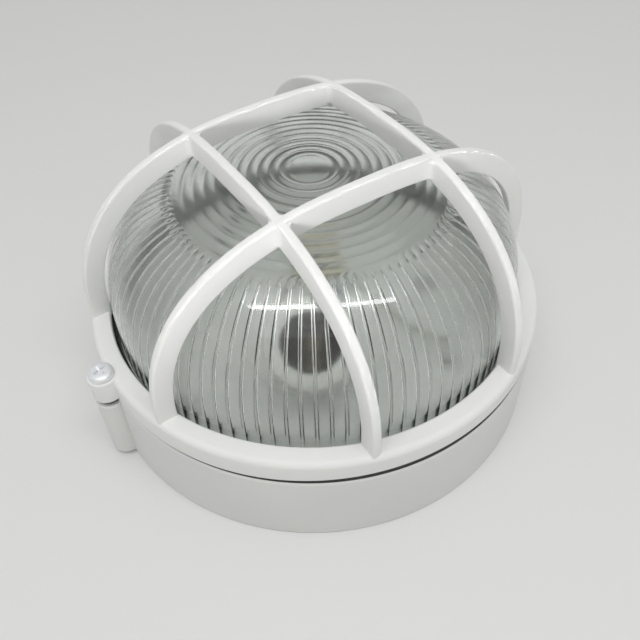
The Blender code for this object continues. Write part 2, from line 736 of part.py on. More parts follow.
def guard_screws(steel, rubber):
    """The two captive screws, with a rubber retainer on each between the lugs."""
    profile = pan_head_profile(SCREW_RADIUS, SCREW_HEAD_RADIUS, SCREW_HEAD_HEIGHT, SCREW_REACH)
    for name, side in (("left", -1), ("right", 1)):
        seat = Matrix.Translation((side * LUG_CENTRE, 0, RING_TOP + TOUCH))
        mesh = finish_mesh("guard_screw_" + name, turned(profile, SCREW_ROUND))
        screw = add_object("guard_screw_" + name, mesh, steel, seat)
        for index in range(2):
            arm = recess_arm(index * math.pi / 2, SCREW_HEAD_HEIGHT)
            combine(screw, f"recess_{name}_{index}", arm, "DIFFERENCE")
        low = LUG_LOWER_TOP + TOUCH
        high = SKIRT_BOTTOM - TOUCH
        ring = tube(SCREW_HOLE, RETAINER_RADIUS, low, high, SCREW_ROUND)
        mesh = finish_mesh("screw_retainer_" + name, ring)
        add_object("screw_retainer_" + name, mesh, rubber, Matrix.Translation((side * LUG_CENTRE, 0, 0)))


def small_spot(x, y, z):
    """Place for a small hole or screw, turned half a facet so its corners stay off the piece's own axes."""
    return Matrix.Translation((x, y, z)) @ Matrix.Rotation(math.pi / SMALL_ROUND, 4, "Z")


def lampholder(porcelain, brass, steel):
    """Porcelain body, threaded shell, centre contact, and a terminal with its screw on each side."""
    bore = SHELL_CREST_RADIUS + SHELL_THREAD + SHELL_SHEET + SLIDE
    lip = SHELL_CREST_RADIUS + SHELL_THREAD + SHELL_SHEET / 2
    shoulder = HOLDER_NECK + HOLDER_SHOULDER
    profile = [
        (0, 0),
        (HOLDER_NECK_RADIUS, 0),
        (HOLDER_NECK_RADIUS, HOLDER_NECK),
        (HOLDER_RADIUS, shoulder),
        (HOLDER_RADIUS, HOLDER_LENGTH - HOLDER_EDGE),
        (HOLDER_RADIUS - HOLDER_EDGE, HOLDER_LENGTH),
        (lip, HOLDER_LENGTH),
        (lip, HOLDER_LENGTH - HOLDER_LIP),
        (bore, HOLDER_LENGTH - HOLDER_LIP),
        (bore, SOCKET_FLOOR),
        (0, SOCKET_FLOOR),
    ]
    mesh = finish_mesh("lampholder_body", turned(profile, HOLDER_ROUND))
    body = add_object("lampholder_body", mesh, porcelain, SOCKET_FRAME)
    holes = []
    for side in (-1, 1):
        depth = SMALL_SCREW_IN_HOLDER + TOUCH
        hole = rod(SMALL_SCREW_RADIUS + TOUCH, -depth, depth, SMALL_ROUND)
        holes.append(placed(hole, small_spot(0, side * HOLDER_SCREW_SPREAD, 0)))
    combine(body, "holder_holes", merged(holes), "DIFFERENCE")
    lamp_shell(brass)
    centre_contact(brass)
    for name, side in (("live", -1), ("neutral", 1)):
        holder_terminal(name, side, brass, steel)
    return body


def lamp_shell(brass):
    """Rolled thread shell: its crests and roots are turned waves."""
    low = SOCKET_FLOOR + TOUCH
    high = HOLDER_LENGTH - HOLDER_LIP - TOUCH
    steps = SHELL_TURNS * 2
    inner = []
    outer = []
    for step in range(steps + 1):
        height = low + (high - low) * step / steps
        radius = SHELL_CREST_RADIUS + SHELL_THREAD * (step % 2)
        inner.append((radius, height))
        outer.append((radius + SHELL_SHEET, height))
    mesh = finish_mesh("lamp_shell", turned(inner + outer[::-1], HOLDER_ROUND))
    return add_object("lamp_shell", mesh, brass, SOCKET_FRAME)


def centre_contact(brass):
    """Springy strip bent up from the socket floor."""
    low = SOCKET_FLOOR + TOUCH
    reach = CONTACT_LENGTH / 2
    outline = [
        (-reach, low),
        (0, low),
        (reach, low + CONTACT_SPRING),
        (reach, low + CONTACT_SPRING + CONTACT_SHEET),
        (-CONTACT_SHEET, low + CONTACT_SHEET),
        (-reach, low + CONTACT_SHEET),
    ]
    mesh = finish_mesh("centre_contact", extruded(outline, CONTACT_WIDTH), smooth=False)
    return add_object("centre_contact", mesh, brass, SOCKET_FRAME)


def terminal_frame(side):
    """Centre of a terminal: beside the neck, with its own +Z pointing away from it."""
    out = HOLDER_NECK_RADIUS + TOUCH + TERMINAL_WIDTH / 2
    up = TERMINAL_FROM_BACK + TERMINAL_HEIGHT / 2
    turn = Matrix.Rotation(-side * math.pi / 2, 4, "X")
    return SOCKET_FRAME @ Matrix.Translation((0, side * out, up)) @ turn


def holder_terminal(name, side, brass, steel):
    frame = terminal_frame(side)
    half = (TERMINAL_DEPTH / 2, TERMINAL_HEIGHT / 2, TERMINAL_WIDTH / 2)
    mesh = finish_mesh("terminal", block([-value for value in half], half), smooth=False)
    item = add_object("holder_terminal_" + name, mesh, brass, frame)
    wire_way = rod(WIRE_RADIUS + SLIDE, -TERMINAL_DEPTH, TERMINAL_DEPTH, SMALL_ROUND)
    placed(wire_way, Matrix.Rotation(math.pi / 2, 4, "Y") @ small_spot(0, 0, 0))
    combine(item, "wire_way_" + name, wire_way, "DIFFERENCE")
    reach = TERMINAL_WIDTH / 2 - WIRE_RADIUS - SLIDE - TOUCH
    screw_way = rod(TERMINAL_SCREW_RADIUS + TOUCH, 0, TERMINAL_WIDTH, SMALL_ROUND)
    combine(item, "screw_way_" + name, screw_way, "DIFFERENCE")
    profile = cheese_head_profile(
        TERMINAL_SCREW_RADIUS, TERMINAL_SCREW_HEAD, TERMINAL_SCREW_HEAD_HEIGHT, reach,
    )
    seat = frame @ Matrix.Translation((0, 0, TERMINAL_WIDTH / 2 + TOUCH))
    slotted_screw("holder_terminal_screw_" + name, profile, TERMINAL_SCREW_HEAD_HEIGHT, seat, steel)


def slotted_screw(name, profile, head_height, frame, material):
    item = add_object(name, finish_mesh(name, turned(profile, SMALL_ROUND)), material, frame)
    long = SMALL_HEAD_RADIUS * 2
    low = (-long, -SLOT_WIDTH / 2, head_height - SLOT_DEPTH)
    high = (long, SLOT_WIDTH / 2, head_height + SLOT_DEPTH)
    combine(item, "slot_" + name, block(low, high), "DIFFERENCE")
    return item


def bracket_bend():
    """Where the strip's raised leg, lying on the lampholder's back, meets the leg on the floor."""
    to_heading = HEADING_FRAME.inverted() @ SOCKET_FRAME
    back = to_heading @ Vector((0, 0, -TOUCH))
    down = to_heading.to_3x3() @ Vector((1, 0, 0))
    floor_top = PLATEAU_Z + TOUCH + STRIP
    reach = (floor_top - back.z) / down.z
    return back, down, reach


def holder_bracket(steel):
    """Strip bent to an acute V: one leg on the floor, one against the lampholder's back."""
    back, down, reach = bracket_bend()
    bend = back + down * reach
    top = back - down * (HOLDER_NECK_RADIUS - STRIP_TOP_MARGIN)
    away = Vector((math.cos(HOLDER_TILT), 0, math.sin(HOLDER_TILT))) * STRIP
    floor_bottom = PLATEAU_Z + TOUCH
    inner_reach = (floor_bottom + STRIP - (back - away).z) / down.z
    inner_bend = back - away + down * inner_reach
    outline = [
        (-STRIP_BACK, floor_bottom),
        (bend.x, floor_bottom),
        (bend.x + STRIP / 2, floor_bottom + STRIP / 2),
        (bend.x, floor_bottom + STRIP),
        (top.x, top.z),
        (top.x - away.x, top.z - away.z),
        (inner_bend.x, inner_bend.z),
        (-STRIP_BACK, floor_bottom + STRIP),
    ]
    mesh = finish_mesh("holder_bracket", extruded(outline, STRIP_WIDTH), smooth=False)
    item = add_object("holder_bracket", mesh, steel, HEADING_FRAME)
    holes = []
    to_heading = HEADING_FRAME.inverted() @ SOCKET_FRAME
    for side in (-1, 1):
        hole = rod(SMALL_SCREW_RADIUS + TOUCH, 0, PLATEAU_Z + STRIP * 3, SMALL_ROUND)
        spot = (STRIP_SCREW_FROM_END - STRIP_BACK, side * STRIP_SCREW_SPREAD, 0)
        holes.append(placed(hole, Matrix.Translation(spot)))
        hole = rod(SMALL_SCREW_RADIUS + TOUCH, -STRIP * 2, STRIP, SMALL_ROUND)
        placed(hole, small_spot(0, side * HOLDER_SCREW_SPREAD, 0))
        holes.append(placed(hole, to_heading))
    combine(item, "bracket_holes", merged(holes), "DIFFERENCE")
    return item


def bracket_screws(steel):
    for name, side in (("a", -1), ("b", 1)):
        profile = cheese_head_profile(
            SMALL_SCREW_RADIUS, SMALL_HEAD_RADIUS, SMALL_HEAD_HEIGHT, SMALL_SCREW_IN_FLOOR + STRIP + TOUCH,
        )
        spot = (STRIP_SCREW_FROM_END - STRIP_BACK, side * STRIP_SCREW_SPREAD, PLATEAU_Z + STRIP + 2 * TOUCH)
        seat = HEADING_FRAME @ Matrix.Translation(spot)
        slotted_screw("bracket_screw_" + name, profile, SMALL_HEAD_HEIGHT, seat, steel)
        profile = cheese_head_profile(
            SMALL_SCREW_RADIUS, SMALL_HEAD_RADIUS, SMALL_HEAD_HEIGHT, SMALL_SCREW_IN_HOLDER + STRIP + TOUCH,
        )
        under = small_spot(0, side * HOLDER_SCREW_SPREAD, -STRIP - 2 * TOUCH)
        seat = SOCKET_FRAME @ under @ Matrix.Rotation(math.pi, 4, "X")
        slotted_screw("holder_fixing_screw_" + name, profile, SMALL_HEAD_HEIGHT, seat, steel)


def block_base():
    return BLOCK_PAD + TOUCH


def terminal_block(nylon, brass, steel):
    """Three-pole block: a moulding, and in each pole a brass tube with two clamp screws."""
    base = block_base()
    half_width = BLOCK_WIDTH / 2
    half_length = BLOCK_LENGTH / 2
    shape = block((-half_width, -half_length, base), (half_width, half_length, base + BLOCK_HEIGHT))
    top_edges = [edge for edge in shape.edges if min(v.co.z for v in edge.verts) > base + BLOCK_HEIGHT / 2]
    bmesh.ops.bevel(shape, geom=top_edges, offset=BLOCK_EDGE, segments=1, affect="EDGES")
    mesh = finish_mesh("terminal_block", shape, smooth=False)
    item = add_object("terminal_block", mesh, nylon, BLOCK_FRAME)
    pole_z = base + POLE_HEIGHT
    top = base + BLOCK_HEIGHT
    across = Matrix.Rotation(math.pi / 2, 4, "Y")
    ways = []
    wells = []
    for index, name in ((-1, "live"), (0, "neutral"), (1, "earth")):
        spot = Matrix.Translation((0, index * POLE_PITCH, pole_z))
        way = rod(TUBE_RADIUS + TOUCH, -BLOCK_WIDTH, BLOCK_WIDTH, SMALL_ROUND)
        ways.append(placed(way, spot @ across))
        brass_tube = tube(TUBE_BORE, TUBE_RADIUS, -TUBE_LENGTH / 2, TUBE_LENGTH / 2, SMALL_ROUND)
        mesh = finish_mesh("block_tube_" + name, brass_tube)
        add_object("block_tube_" + name, mesh, brass, BLOCK_FRAME @ spot @ across)
        for end, side in (("in", 1), ("out", -1)):
            well = rod(POLE_SCREW_HEAD + TOUCH, pole_z, top + BLOCK_EDGE, SMALL_ROUND)
            place = Matrix.Translation((side * POLE_SCREW_SPREAD, index * POLE_PITCH, 0))
            wells.append(placed(well, place))
            foot = pole_z + TUBE_RADIUS + TOUCH
            screw_height = top - BLOCK_EDGE - foot
            head = screw_height / 2
            profile = cheese_head_profile(POLE_SCREW_RADIUS, POLE_SCREW_HEAD, head, screw_height - head)
            seat = BLOCK_FRAME @ place @ Matrix.Translation((0, 0, foot + screw_height - head))
            slotted_screw(f"block_screw_{name}_{end}", profile, head, seat, steel)
    combine(item, "block_ways", merged(ways), "DIFFERENCE")
    combine(item, "block_wells", merged(wells), "DIFFERENCE")
    block_fixings(item, steel)
    return item


def block_fixings(item, steel):
    """Two small screws between the poles, sunk in the moulding."""
    base = block_base()
    sunk = base + BLOCK_HEIGHT / 2
    cuts = []
    for name, side in (("a", -1), ("b", 1)):
        cut = turned([
            (0, base - BLOCK_PAD),
            (BLOCK_SCREW_RADIUS + TOUCH, base - BLOCK_PAD),
            (BLOCK_SCREW_RADIUS + TOUCH, sunk - TOUCH),
            (BLOCK_SCREW_HEAD + TOUCH, sunk - TOUCH),
            (BLOCK_SCREW_HEAD + TOUCH, base + BLOCK_HEIGHT * 2),
            (0, base + BLOCK_HEIGHT * 2),
        ], SMALL_ROUND)
        place = Matrix.Translation((0, side * POLE_PITCH / 2, 0))
        cuts.append(placed(cut, place))
        length = sunk + FLOOR / 2 - TOUCH
        profile = cheese_head_profile(BLOCK_SCREW_RADIUS, BLOCK_SCREW_HEAD, SLOT_DEPTH * 2, length)
        seat = BLOCK_FRAME @ place @ Matrix.Translation((0, 0, sunk))
        slotted_screw("block_fixing_screw_" + name, profile, SLOT_DEPTH * 2, seat, steel)
    combine(item, "block_fixing_cuts", merged(cuts), "DIFFERENCE")


def smooth_route(points, step):
    """Even points along a smooth curve through the given ones."""
    route = []
    padded = [points[0] * 2 - points[1]] + points + [points[-1] * 2 - points[-2]]
    for index in range(len(points) - 1):
        before, start, end, after = padded[index:index + 4]
        pieces = max(1, round((end - start).length / step))
        for piece in range(pieces):
            t = piece / pieces
            route.append(0.5 * (
                2 * start + (end - before) * t
                + (2 * before - 5 * start + 4 * end - after) * t * t
                + (3 * start - before - 3 * end + after) * t * t * t
            ))
    route.append(points[-1])
    return route


def wire(name, points, material):
    """Insulated conductor: a round tube along a smooth route."""
    curve = bpy.data.curves.new(name, "CURVE")
    curve.dimensions = "3D"
    curve.bevel_depth = WIRE_RADIUS
    curve.bevel_resolution = WIRE_ROUND_STEPS
    curve.use_fill_caps = True
    route = smooth_route([Vector(point) for point in points], WIRE_STEP)
    spline = curve.splines.new("POLY")
    spline.points.add(len(route) - 1)
    for spot, target in zip(spline.points, route):
        spot.co = (*target, 1)
    return add_object(name, curve, material)


def pole_mouth(index):
    """World point on a pole's axis, inside its tube, and one straight out of it."""
    height = block_base() + POLE_HEIGHT
    inside = BLOCK_FRAME @ Vector((TUBE_LENGTH / 2 - WIRE_IN_TUBE, index * POLE_PITCH, height))
    outside = BLOCK_FRAME @ Vector((TUBE_LENGTH / 2 + WIRE_STEP, index * POLE_PITCH, height))
    return inside, outside


def wires(live, neutral, earth):
    for name, index, side, material in (("live_wire", -1, -1, live), ("neutral_wire", 0, 1, neutral)):
        inside, outside = pole_mouth(index)
        frame = terminal_frame(side)
        end = frame @ Vector((-TERMINAL_DEPTH / 2 + WIRE_IN_TERMINAL, 0, 0))
        near = frame @ Vector((-TERMINAL_DEPTH / 2 - WIRE_STEP, 0, 0))
        above = frame @ Vector((-TERMINAL_DEPTH / 2 - WIRE_LEAD, 0, WIRE_LEAD_RISE))
        middle = outside.lerp(above, 0.5) + HEADING_FRAME.to_3x3() @ Vector((0, side * WIRE_SPREAD, 0))
        wire(name, [inside, outside, middle, above, near, end], material)
    inside, outside = pole_mouth(1)
    clear = EARTH_BOSS_HEIGHT + TOUCH + WIRE_RADIUS
    gap = EARTH_WASHER_RADIUS + TOUCH
    turn = EARTH_FRAME.to_3x3() @ Vector((0, 1, 0))
    end = EARTH_FRAME @ Vector((0, 0, clear)) + turn * gap
    near = end + turn * WIRE_STEP
    over_plateau = PLATEAU_HEIGHT + TOUCH + SLIDE + WIRE_RADIUS
    bend = BLOCK_FRAME @ Vector((*EARTH_WIRE_BEND, over_plateau))
    middle = bend.lerp(near, 0.5) + HEADING_FRAME.to_3x3() @ Vector(EARTH_WIRE_SWAY)
    wire("earth_wire", [inside, outside, bend, middle, near, end], earth)


def earth_point(steel, brass):
    ring = tube(SMALL_SCREW_RADIUS + TOUCH, EARTH_WASHER_RADIUS, 0, EARTH_WASHER, SCREW_ROUND)
    seat = EARTH_FRAME @ Matrix.Translation((0, 0, EARTH_BOSS_HEIGHT + TOUCH))
    add_object("earth_washer", finish_mesh("earth_washer", ring), brass, seat)
    profile = cheese_head_profile(
        SMALL_SCREW_RADIUS, SMALL_HEAD_RADIUS, SMALL_HEAD_HEIGHT, SMALL_SCREW_IN_FLOOR + EARTH_WASHER + TOUCH,
    )
    seat = EARTH_FRAME @ Matrix.Translation((0, 0, EARTH_BOSS_HEIGHT + EARTH_WASHER + 2 * TOUCH))
    slotted_screw("earth_screw", profile, SMALL_HEAD_HEIGHT, seat, steel)


def cable_entry(plastic, rubber, steel):
    """Compression entry: rubber seal on the boss's shoulder, a washer, and a hexagonal nut."""
    start = INNER_WALL_RADIUS - ENTRY_SHOULDER / 2 + ENTRY_SHOULDER + TOUCH
    seal = tube(SEAL_BORE, ENTRY_BORE - TOUCH, start, start + SEAL_LENGTH, LUG_ROUND)
    add_object("entry_seal", finish_mesh("entry_seal", seal), rubber, ENTRY_FRAME)
    start += SEAL_LENGTH + TOUCH
    washer = tube(NUT_BORE, ENTRY_BORE - TOUCH, start, start + ENTRY_WASHER, LUG_ROUND)
    add_object("entry_washer", finish_mesh("entry_washer", washer), steel, ENTRY_FRAME)
    start += ENTRY_WASHER + TOUCH
    boss_end = wall_radius(ENTRY_HEIGHT) + ENTRY_BOSS_PROUD
    face = boss_end + TOUCH
    spigot = tube(NUT_BORE, ENTRY_BORE - TOUCH, start, face + NUT_THICKNESS, LUG_ROUND)
    item = add_object("entry_nut", finish_mesh("entry_nut", spigot), plastic, ENTRY_FRAME)
    corner = NUT_FLATS_RADIUS / math.cos(math.pi / 6)
    head = turned([
        (NUT_BORE, face),
        (corner, face),
        (corner, face + NUT_THICKNESS - BODY_EDGE),
        (NUT_FLATS_RADIUS, face + NUT_THICKNESS),
        (NUT_BORE, face + NUT_THICKNESS),
    ], 6)
    ring = rod(NUT_BORE, face - TOUCH, face + NUT_THICKNESS * 2, LUG_ROUND)
    combine(item, "entry_nut_head", head, "UNION")
    combine(item, "entry_nut_bore", ring, "DIFFERENCE")
    return item


def fixing_grommets(rubber):
    """Flanged rubber grommets in the two wall fixing holes."""
    profile = [
        (GROMMET_BORE, TOUCH),
        (FIXING_HOLE - TOUCH, TOUCH),
        (FIXING_HOLE - TOUCH, FLOOR + TOUCH),
        (GROMMET_FLANGE, FLOOR + TOUCH),
        (GROMMET_FLANGE - GROMMET_THICKNESS / 4, FLOOR + TOUCH + GROMMET_THICKNESS),
        (GROMMET_BORE, FLOOR + TOUCH + GROMMET_THICKNESS),
    ]
    for name, side in (("left", -1), ("right", 1)):
        mesh = finish_mesh("fixing_grommet_" + name, turned(profile, SCREW_ROUND))
        add_object("fixing_grommet_" + name, mesh, rubber, Matrix.Translation((side * FIXING_DISTANCE, 0, 0)))


def build():
    clear_scene()
    paint = make_material("white_powder_coat", (0.80, 0.80, 0.78), 0.42)
    glass = make_material("clear_glass", (0.90, 0.93, 0.91), 0.03, transmission=1.0)
    rubber = make_material("black_rubber", (0.015, 0.015, 0.016), 0.6)
    zinc = make_material("zinc_plated_steel", (0.72, 0.72, 0.74), 0.3, metallic=1.0)
    brass = make_material("brass", (0.72, 0.56, 0.30), 0.3, metallic=1.0)
    porcelain = make_material("glazed_porcelain", (0.80, 0.79, 0.74), 0.2)
    nylon = make_material("ivory_nylon", (0.74, 0.70, 0.56), 0.45)
    plastic = make_material("white_plastic", (0.78, 0.78, 0.76), 0.5)
    live = make_material("brown_insulation", (0.20, 0.09, 0.04), 0.5)
    neutral = make_material("blue_insulation", (0.05, 0.14, 0.38), 0.5)
    earth = make_material("green_insulation", (0.20, 0.45, 0.08), 0.5)
    base_body(paint)
    guard(paint)
    glass_dome(glass)
    gasket(rubber)
    guard_screws(zinc, rubber)
    lampholder(porcelain, brass, zinc)
    holder_bracket(zinc)
    bracket_screws(zinc)
    terminal_block(nylon, brass, zinc)
    wires(live, neutral, earth)
    earth_point(zinc, brass)
    cable_entry(plastic, rubber, zinc)
    fixing_grommets(rubber)


build()
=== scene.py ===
"""Looks of the round bulkhead light: powder-coated castings, ribbed glass, rubber, brass, porcelain."""

import json
import math

import bmesh
import bpy
from mathutils import Matrix, Vector


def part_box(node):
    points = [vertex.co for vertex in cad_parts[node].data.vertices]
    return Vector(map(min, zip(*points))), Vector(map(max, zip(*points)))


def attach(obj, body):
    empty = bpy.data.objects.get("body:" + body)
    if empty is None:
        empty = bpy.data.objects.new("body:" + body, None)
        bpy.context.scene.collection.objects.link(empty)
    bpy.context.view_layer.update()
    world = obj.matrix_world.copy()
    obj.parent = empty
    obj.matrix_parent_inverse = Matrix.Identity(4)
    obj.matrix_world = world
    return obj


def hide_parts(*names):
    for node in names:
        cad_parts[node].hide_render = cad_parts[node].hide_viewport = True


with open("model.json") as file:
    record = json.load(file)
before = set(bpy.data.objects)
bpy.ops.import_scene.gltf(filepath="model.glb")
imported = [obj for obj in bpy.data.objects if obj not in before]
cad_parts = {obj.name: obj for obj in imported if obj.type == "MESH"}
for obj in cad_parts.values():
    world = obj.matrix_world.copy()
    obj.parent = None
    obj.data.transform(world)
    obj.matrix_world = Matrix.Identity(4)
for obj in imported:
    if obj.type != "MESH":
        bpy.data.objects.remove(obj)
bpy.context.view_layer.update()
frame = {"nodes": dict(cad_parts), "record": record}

# Clearance between pieces, in metres as everything here
TOUCH = 0.0003

# Body casting
BODY_TOP_RADIUS = 0.1053
BODY_WALL = 0.0028
BODY_EDGE = 0.0008
FLOOR = 0.0030
FLOOR_FILLET = 0.0030
SHELF_THICKNESS = 0.0032
INNER_WALL = 0.0026
INNER_WALL_DRAFT = 0.0012
CORE_RADIUS = 0.0930
PLATEAU_RADIUS = 0.0380
PLATEAU_HEIGHT = 0.0030
CAST_FILLET = 0.0010

# Guard casting
RING_OPENING = 0.0961
RING_PLATE = 0.0035
RING_SKIRT = 0.0028
RING_TOP_ROUND = 0.0028
RING_INNER_ROUND = 0.0010
SKIRT_BOW = 0.0026
BAR_OFFSET = 0.0352
BAR_THICKNESS = 0.0040
BAR_ROUND = 0.0011
BAR_INNER_ROUND = 0.0006
BAR_HALF_SPAN = 0.0977
BAR_SIDE_POWER = 2.68
BAR_TOP_POWER = 2.414
BAR_CROWN_DEPTH = 0.0100
BAR_ROOT = 0.0020
CROSSING_FILLET = 0.0028

# Lugs and guard screws
LUG_RADIUS = 0.0064
LUG_DRAFT = 0.0006
LUG_GAP = 0.0022
LUG_BASE = 0.0025
LUG_STEP = 0.0008
LUG_WEB = 0.0056
LUG_WEB_FLARE = 0.0030
LUG_ROUND = 0.0007
SCREW_RADIUS = 0.0025
HEAD_RADIUS = 0.0054
HEAD_HEIGHT = 0.0027
HEAD_RIM = 0.0009
SCREW_REACH = 0.0210
RECESS_SPAN = 0.0060
RECESS_WIDTH = 0.0012
RECESS_DEPTH = 0.0013
RETAINER_WIDTH = 0.0021
LUG_ARC = math.radians(100)
LUG_POINTS = 32
HEAD_FLAT = 0.42
HEAD_STEPS = 8
SCREW_TIP = 0.6
SCREW_TURNS = {"left": math.radians(12), "right": math.radians(51)}
# Shares of the recess's span and width at its bottom, and its levels from there past the head's top
RECESS_BOTTOM_SPAN = 0.45
RECESS_BOTTOM_WIDTH = 0.7
RECESS_CORNER = 1.5
RECESS_LEVELS = (0.0, 0.35, 1.0, 1.3)

# Glass
GLASS_RADIUS = 0.0940
GLASS_SIDE_POWER = 3.246
GLASS_TOP_POWER = 3.135
CROWN_SWELL = 0.0013
CROWN_SWELL_RADIUS = 0.0540
GLASS_WALL = 0.0036
FLANGE_THICKNESS = 0.0040
FLANGE_ROUND = 0.0006
FLUTES = 100
FLUTE_HEIGHT = 0.00045
FLUTE_SHARE = 0.29
FLUTE_FOOT = 0.0030
FLUTE_END_RADIUS = 0.0588
RINGS = 11
RINGS_START = 0.0572
CENTRE_DISC = 0.0080
RING_HEIGHT = 0.00024

# Gasket
GASKET_LIP = 0.0010
GASKET_ROUND = 0.0008
BEAD_RADIUS = 0.1046
BEAD_CLEARANCE = 0.00025

# Lampholder
HOLDER_HEADING = math.radians(235)
HOLDER_TILT = math.radians(60)
HOLDER_BACK_OUT = 0.0204
HOLDER_BACK_HEIGHT = 0.0151
HOLDER_LENGTH = 0.0380
HOLDER_RADIUS = 0.0220
HOLDER_NECK_RADIUS = 0.0140
HOLDER_NECK = 0.0120
HOLDER_SHOULDER = 0.0040
HOLDER_EDGE = 0.0015
HOLDER_LIP = 0.0015
SOCKET_FLOOR = 0.0100
SHELL_CREST_RADIUS = 0.0133
SHELL_THREAD = 0.0007
SHELL_SHEET = 0.0005
THREAD_PITCH = 0.0036
SHELL_SLIDE = 0.0005
HOLDER_SCREW_SPREAD = 0.0080
SMALL_HOLE = 0.0021
SMALL_HOLE_DEPTH = 0.0058

# Terminal block, earth point, cable entry, wall fixings
BLOCK_DISTANCE = 0.0560
BLOCK_LENGTH = 0.0280
BLOCK_WIDTH = 0.0170
BLOCK_PAD = 0.0020
BLOCK_HOLE = 0.0015
POLE_PITCH = 0.0095
EARTH_HEADING = math.radians(313)
EARTH_DISTANCE = 0.0700
EARTH_BOSS_RADIUS = 0.0050
EARTH_BOSS_HEIGHT = 0.0035
STRIP_HOLE_OUT = -0.0050
STRIP_HOLE_SPREAD = 0.0070
FLOOR_HOLE_DEPTH = 0.0043
ENTRY_HEIGHT = 0.0190
ENTRY_BOSS_RADIUS = 0.0125
ENTRY_BOSS_PROUD = 0.0010
ENTRY_BORE = 0.0080
ENTRY_SHOULDER_BORE = 0.0055
ENTRY_SHOULDER = 0.0030
NUT_FLATS_RADIUS = 0.0112
NUT_THICKNESS = 0.0065
NUT_BORE = 0.0046
NUT_ROUND = 0.0012
SEAL_BORE = 0.0036
FIXING_DISTANCE = 0.0750
FIXING_HOLE = 0.0043
GROMMET_FLANGE = 0.0066
GROMMET_THICKNESS = 0.0016
GROMMET_BORE = 0.0024

# Fineness
TURNS = 240
DOME_TURNS = 200
FLUTE_POINTS = 8
FLUTE_ROWS = 34
RING_ROWS = 8
OUTER_ROWS = 56
ARCH_STEPS = 120
SMALL_TURNS = 64
ARC_STEPS = 5
SMOOTH_ANGLE = math.radians(32)
RING_ROUND_STEPS = 8
HOLDER_TURNS = 96
SHELL_ROWS = 84
OUTER_BUNCHING = 1.2
SLOPE_NUDGE = 0.002

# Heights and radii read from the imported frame
GASKET_LOW, GASKET_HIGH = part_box("gasket")
GLASS_LOW, GLASS_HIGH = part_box("glass_dome")
GUARD_LOW, GUARD_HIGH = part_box("guard")
BODY_LOW, BODY_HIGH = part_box("base_body")
SCREW_LOW, SCREW_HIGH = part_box("guard_screw_right")
NUT_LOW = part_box("entry_nut")[0]
SEAL_LOW, SEAL_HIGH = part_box("entry_seal")

BODY_HEIGHT = BODY_HIGH.z
BODY_BASE_RADIUS = -BODY_LOW.y
SHELF_Z = GASKET_LOW.z - TOUCH
FLANGE_BOTTOM = GLASS_LOW.z
FLANGE_TOP = FLANGE_BOTTOM + FLANGE_THICKNESS
FLANGE_RADIUS = GLASS_HIGH.x
GLASS_RISE = GLASS_HIGH.z - FLANGE_TOP - CROWN_SWELL
PLATE_BOTTOM = GASKET_HIGH.z + TOUCH
RING_TOP = PLATE_BOTTOM + RING_PLATE
RING_RADIUS = GUARD_HIGH.y
SKIRT_BOTTOM = GUARD_LOW.z
SKIRT_INNER_RADIUS = RING_RADIUS - RING_SKIRT
BAR_RISE = GUARD_HIGH.z - RING_TOP
LUG_CENTRE = (SCREW_LOW.x + SCREW_HIGH.x) / 2
LUG_LOWER_TOP = SKIRT_BOTTOM - LUG_GAP
PLATEAU_Z = FLOOR + PLATEAU_HEIGHT
SCREW_HOLE = SCREW_RADIUS + TOUCH
RETAINER_RADIUS = SCREW_HOLE + RETAINER_WIDTH

HEADING_FRAME = Matrix.Rotation(HOLDER_HEADING, 4, "Z")
SOCKET_FRAME = (
    HEADING_FRAME
    @ Matrix.Translation((HOLDER_BACK_OUT, 0, HOLDER_BACK_HEIGHT))
    @ Matrix.Rotation(math.pi / 2 - HOLDER_TILT, 4, "Y")
)
BLOCK_FRAME = HEADING_FRAME @ Matrix.Translation((-BLOCK_DISTANCE, 0, FLOOR))
EARTH_FRAME = Matrix.Rotation(EARTH_HEADING, 4, "Z") @ Matrix.Translation((EARTH_DISTANCE, 0, FLOOR))
ENTRY_FRAME = Matrix.Translation((0, 0, ENTRY_HEIGHT)) @ Matrix.Rotation(-math.pi / 2, 4, "X")

# Camera: place, aim and lens worked out from the photograph's perspective
CAMERA_DISTANCE = 0.23686
CAMERA_HEIGHT = 0.27509
CAMERA_HEADING = math.radians(-31.75)
CAMERA_PAN = 0.0099
CAMERA_PITCH = 0.823
CAMERA_ROLL = -0.0334
CAMERA_LENS = 38.04
CAMERA_SENSOR = 36.0

# Floor and surroundings
FLOOR_REACH = 3.0
FLOOR_SLAB = 0.02
FLOOR_DROP = 0.0002
FLOOR_COLOUR = (0.815, 0.815, 0.81)
FLOOR_SHADE = 0.985
FLOOR_DRIFT = 3
FLOOR_ROUGHNESS = 0.55
WORLD_COLOUR = (1.0, 1.0, 0.985)
WORLD_RANGE = (0.20, 0.76)
BACKDROP = 0.62

# Lamps, each at a distance from a point on the axis at the aim height; heading 0 is the camera's right,
# and reflections and glass show the lamp only where shown is True
LAMPS = {
    "long_overhead": dict(
        heading=math.radians(-81.6), height=math.radians(71.9), distance=0.884, aim=0.0,
        size=(0.87, 0.055), power=1.6, beam=math.radians(180), shown=True,
    ),
    "soft_front": dict(
        heading=math.radians(-95), height=math.radians(64), distance=1.25, aim=0.0,
        size=(1.1, 0.9), power=1.85, beam=math.radians(180), shown=True,
    ),
    "bar_fill": dict(
        heading=math.radians(-90), height=math.radians(6), distance=0.50, aim=0.112,
        size=(0.16, 0.05), power=0.0165, beam=math.radians(18), shown=False,
    ),
}

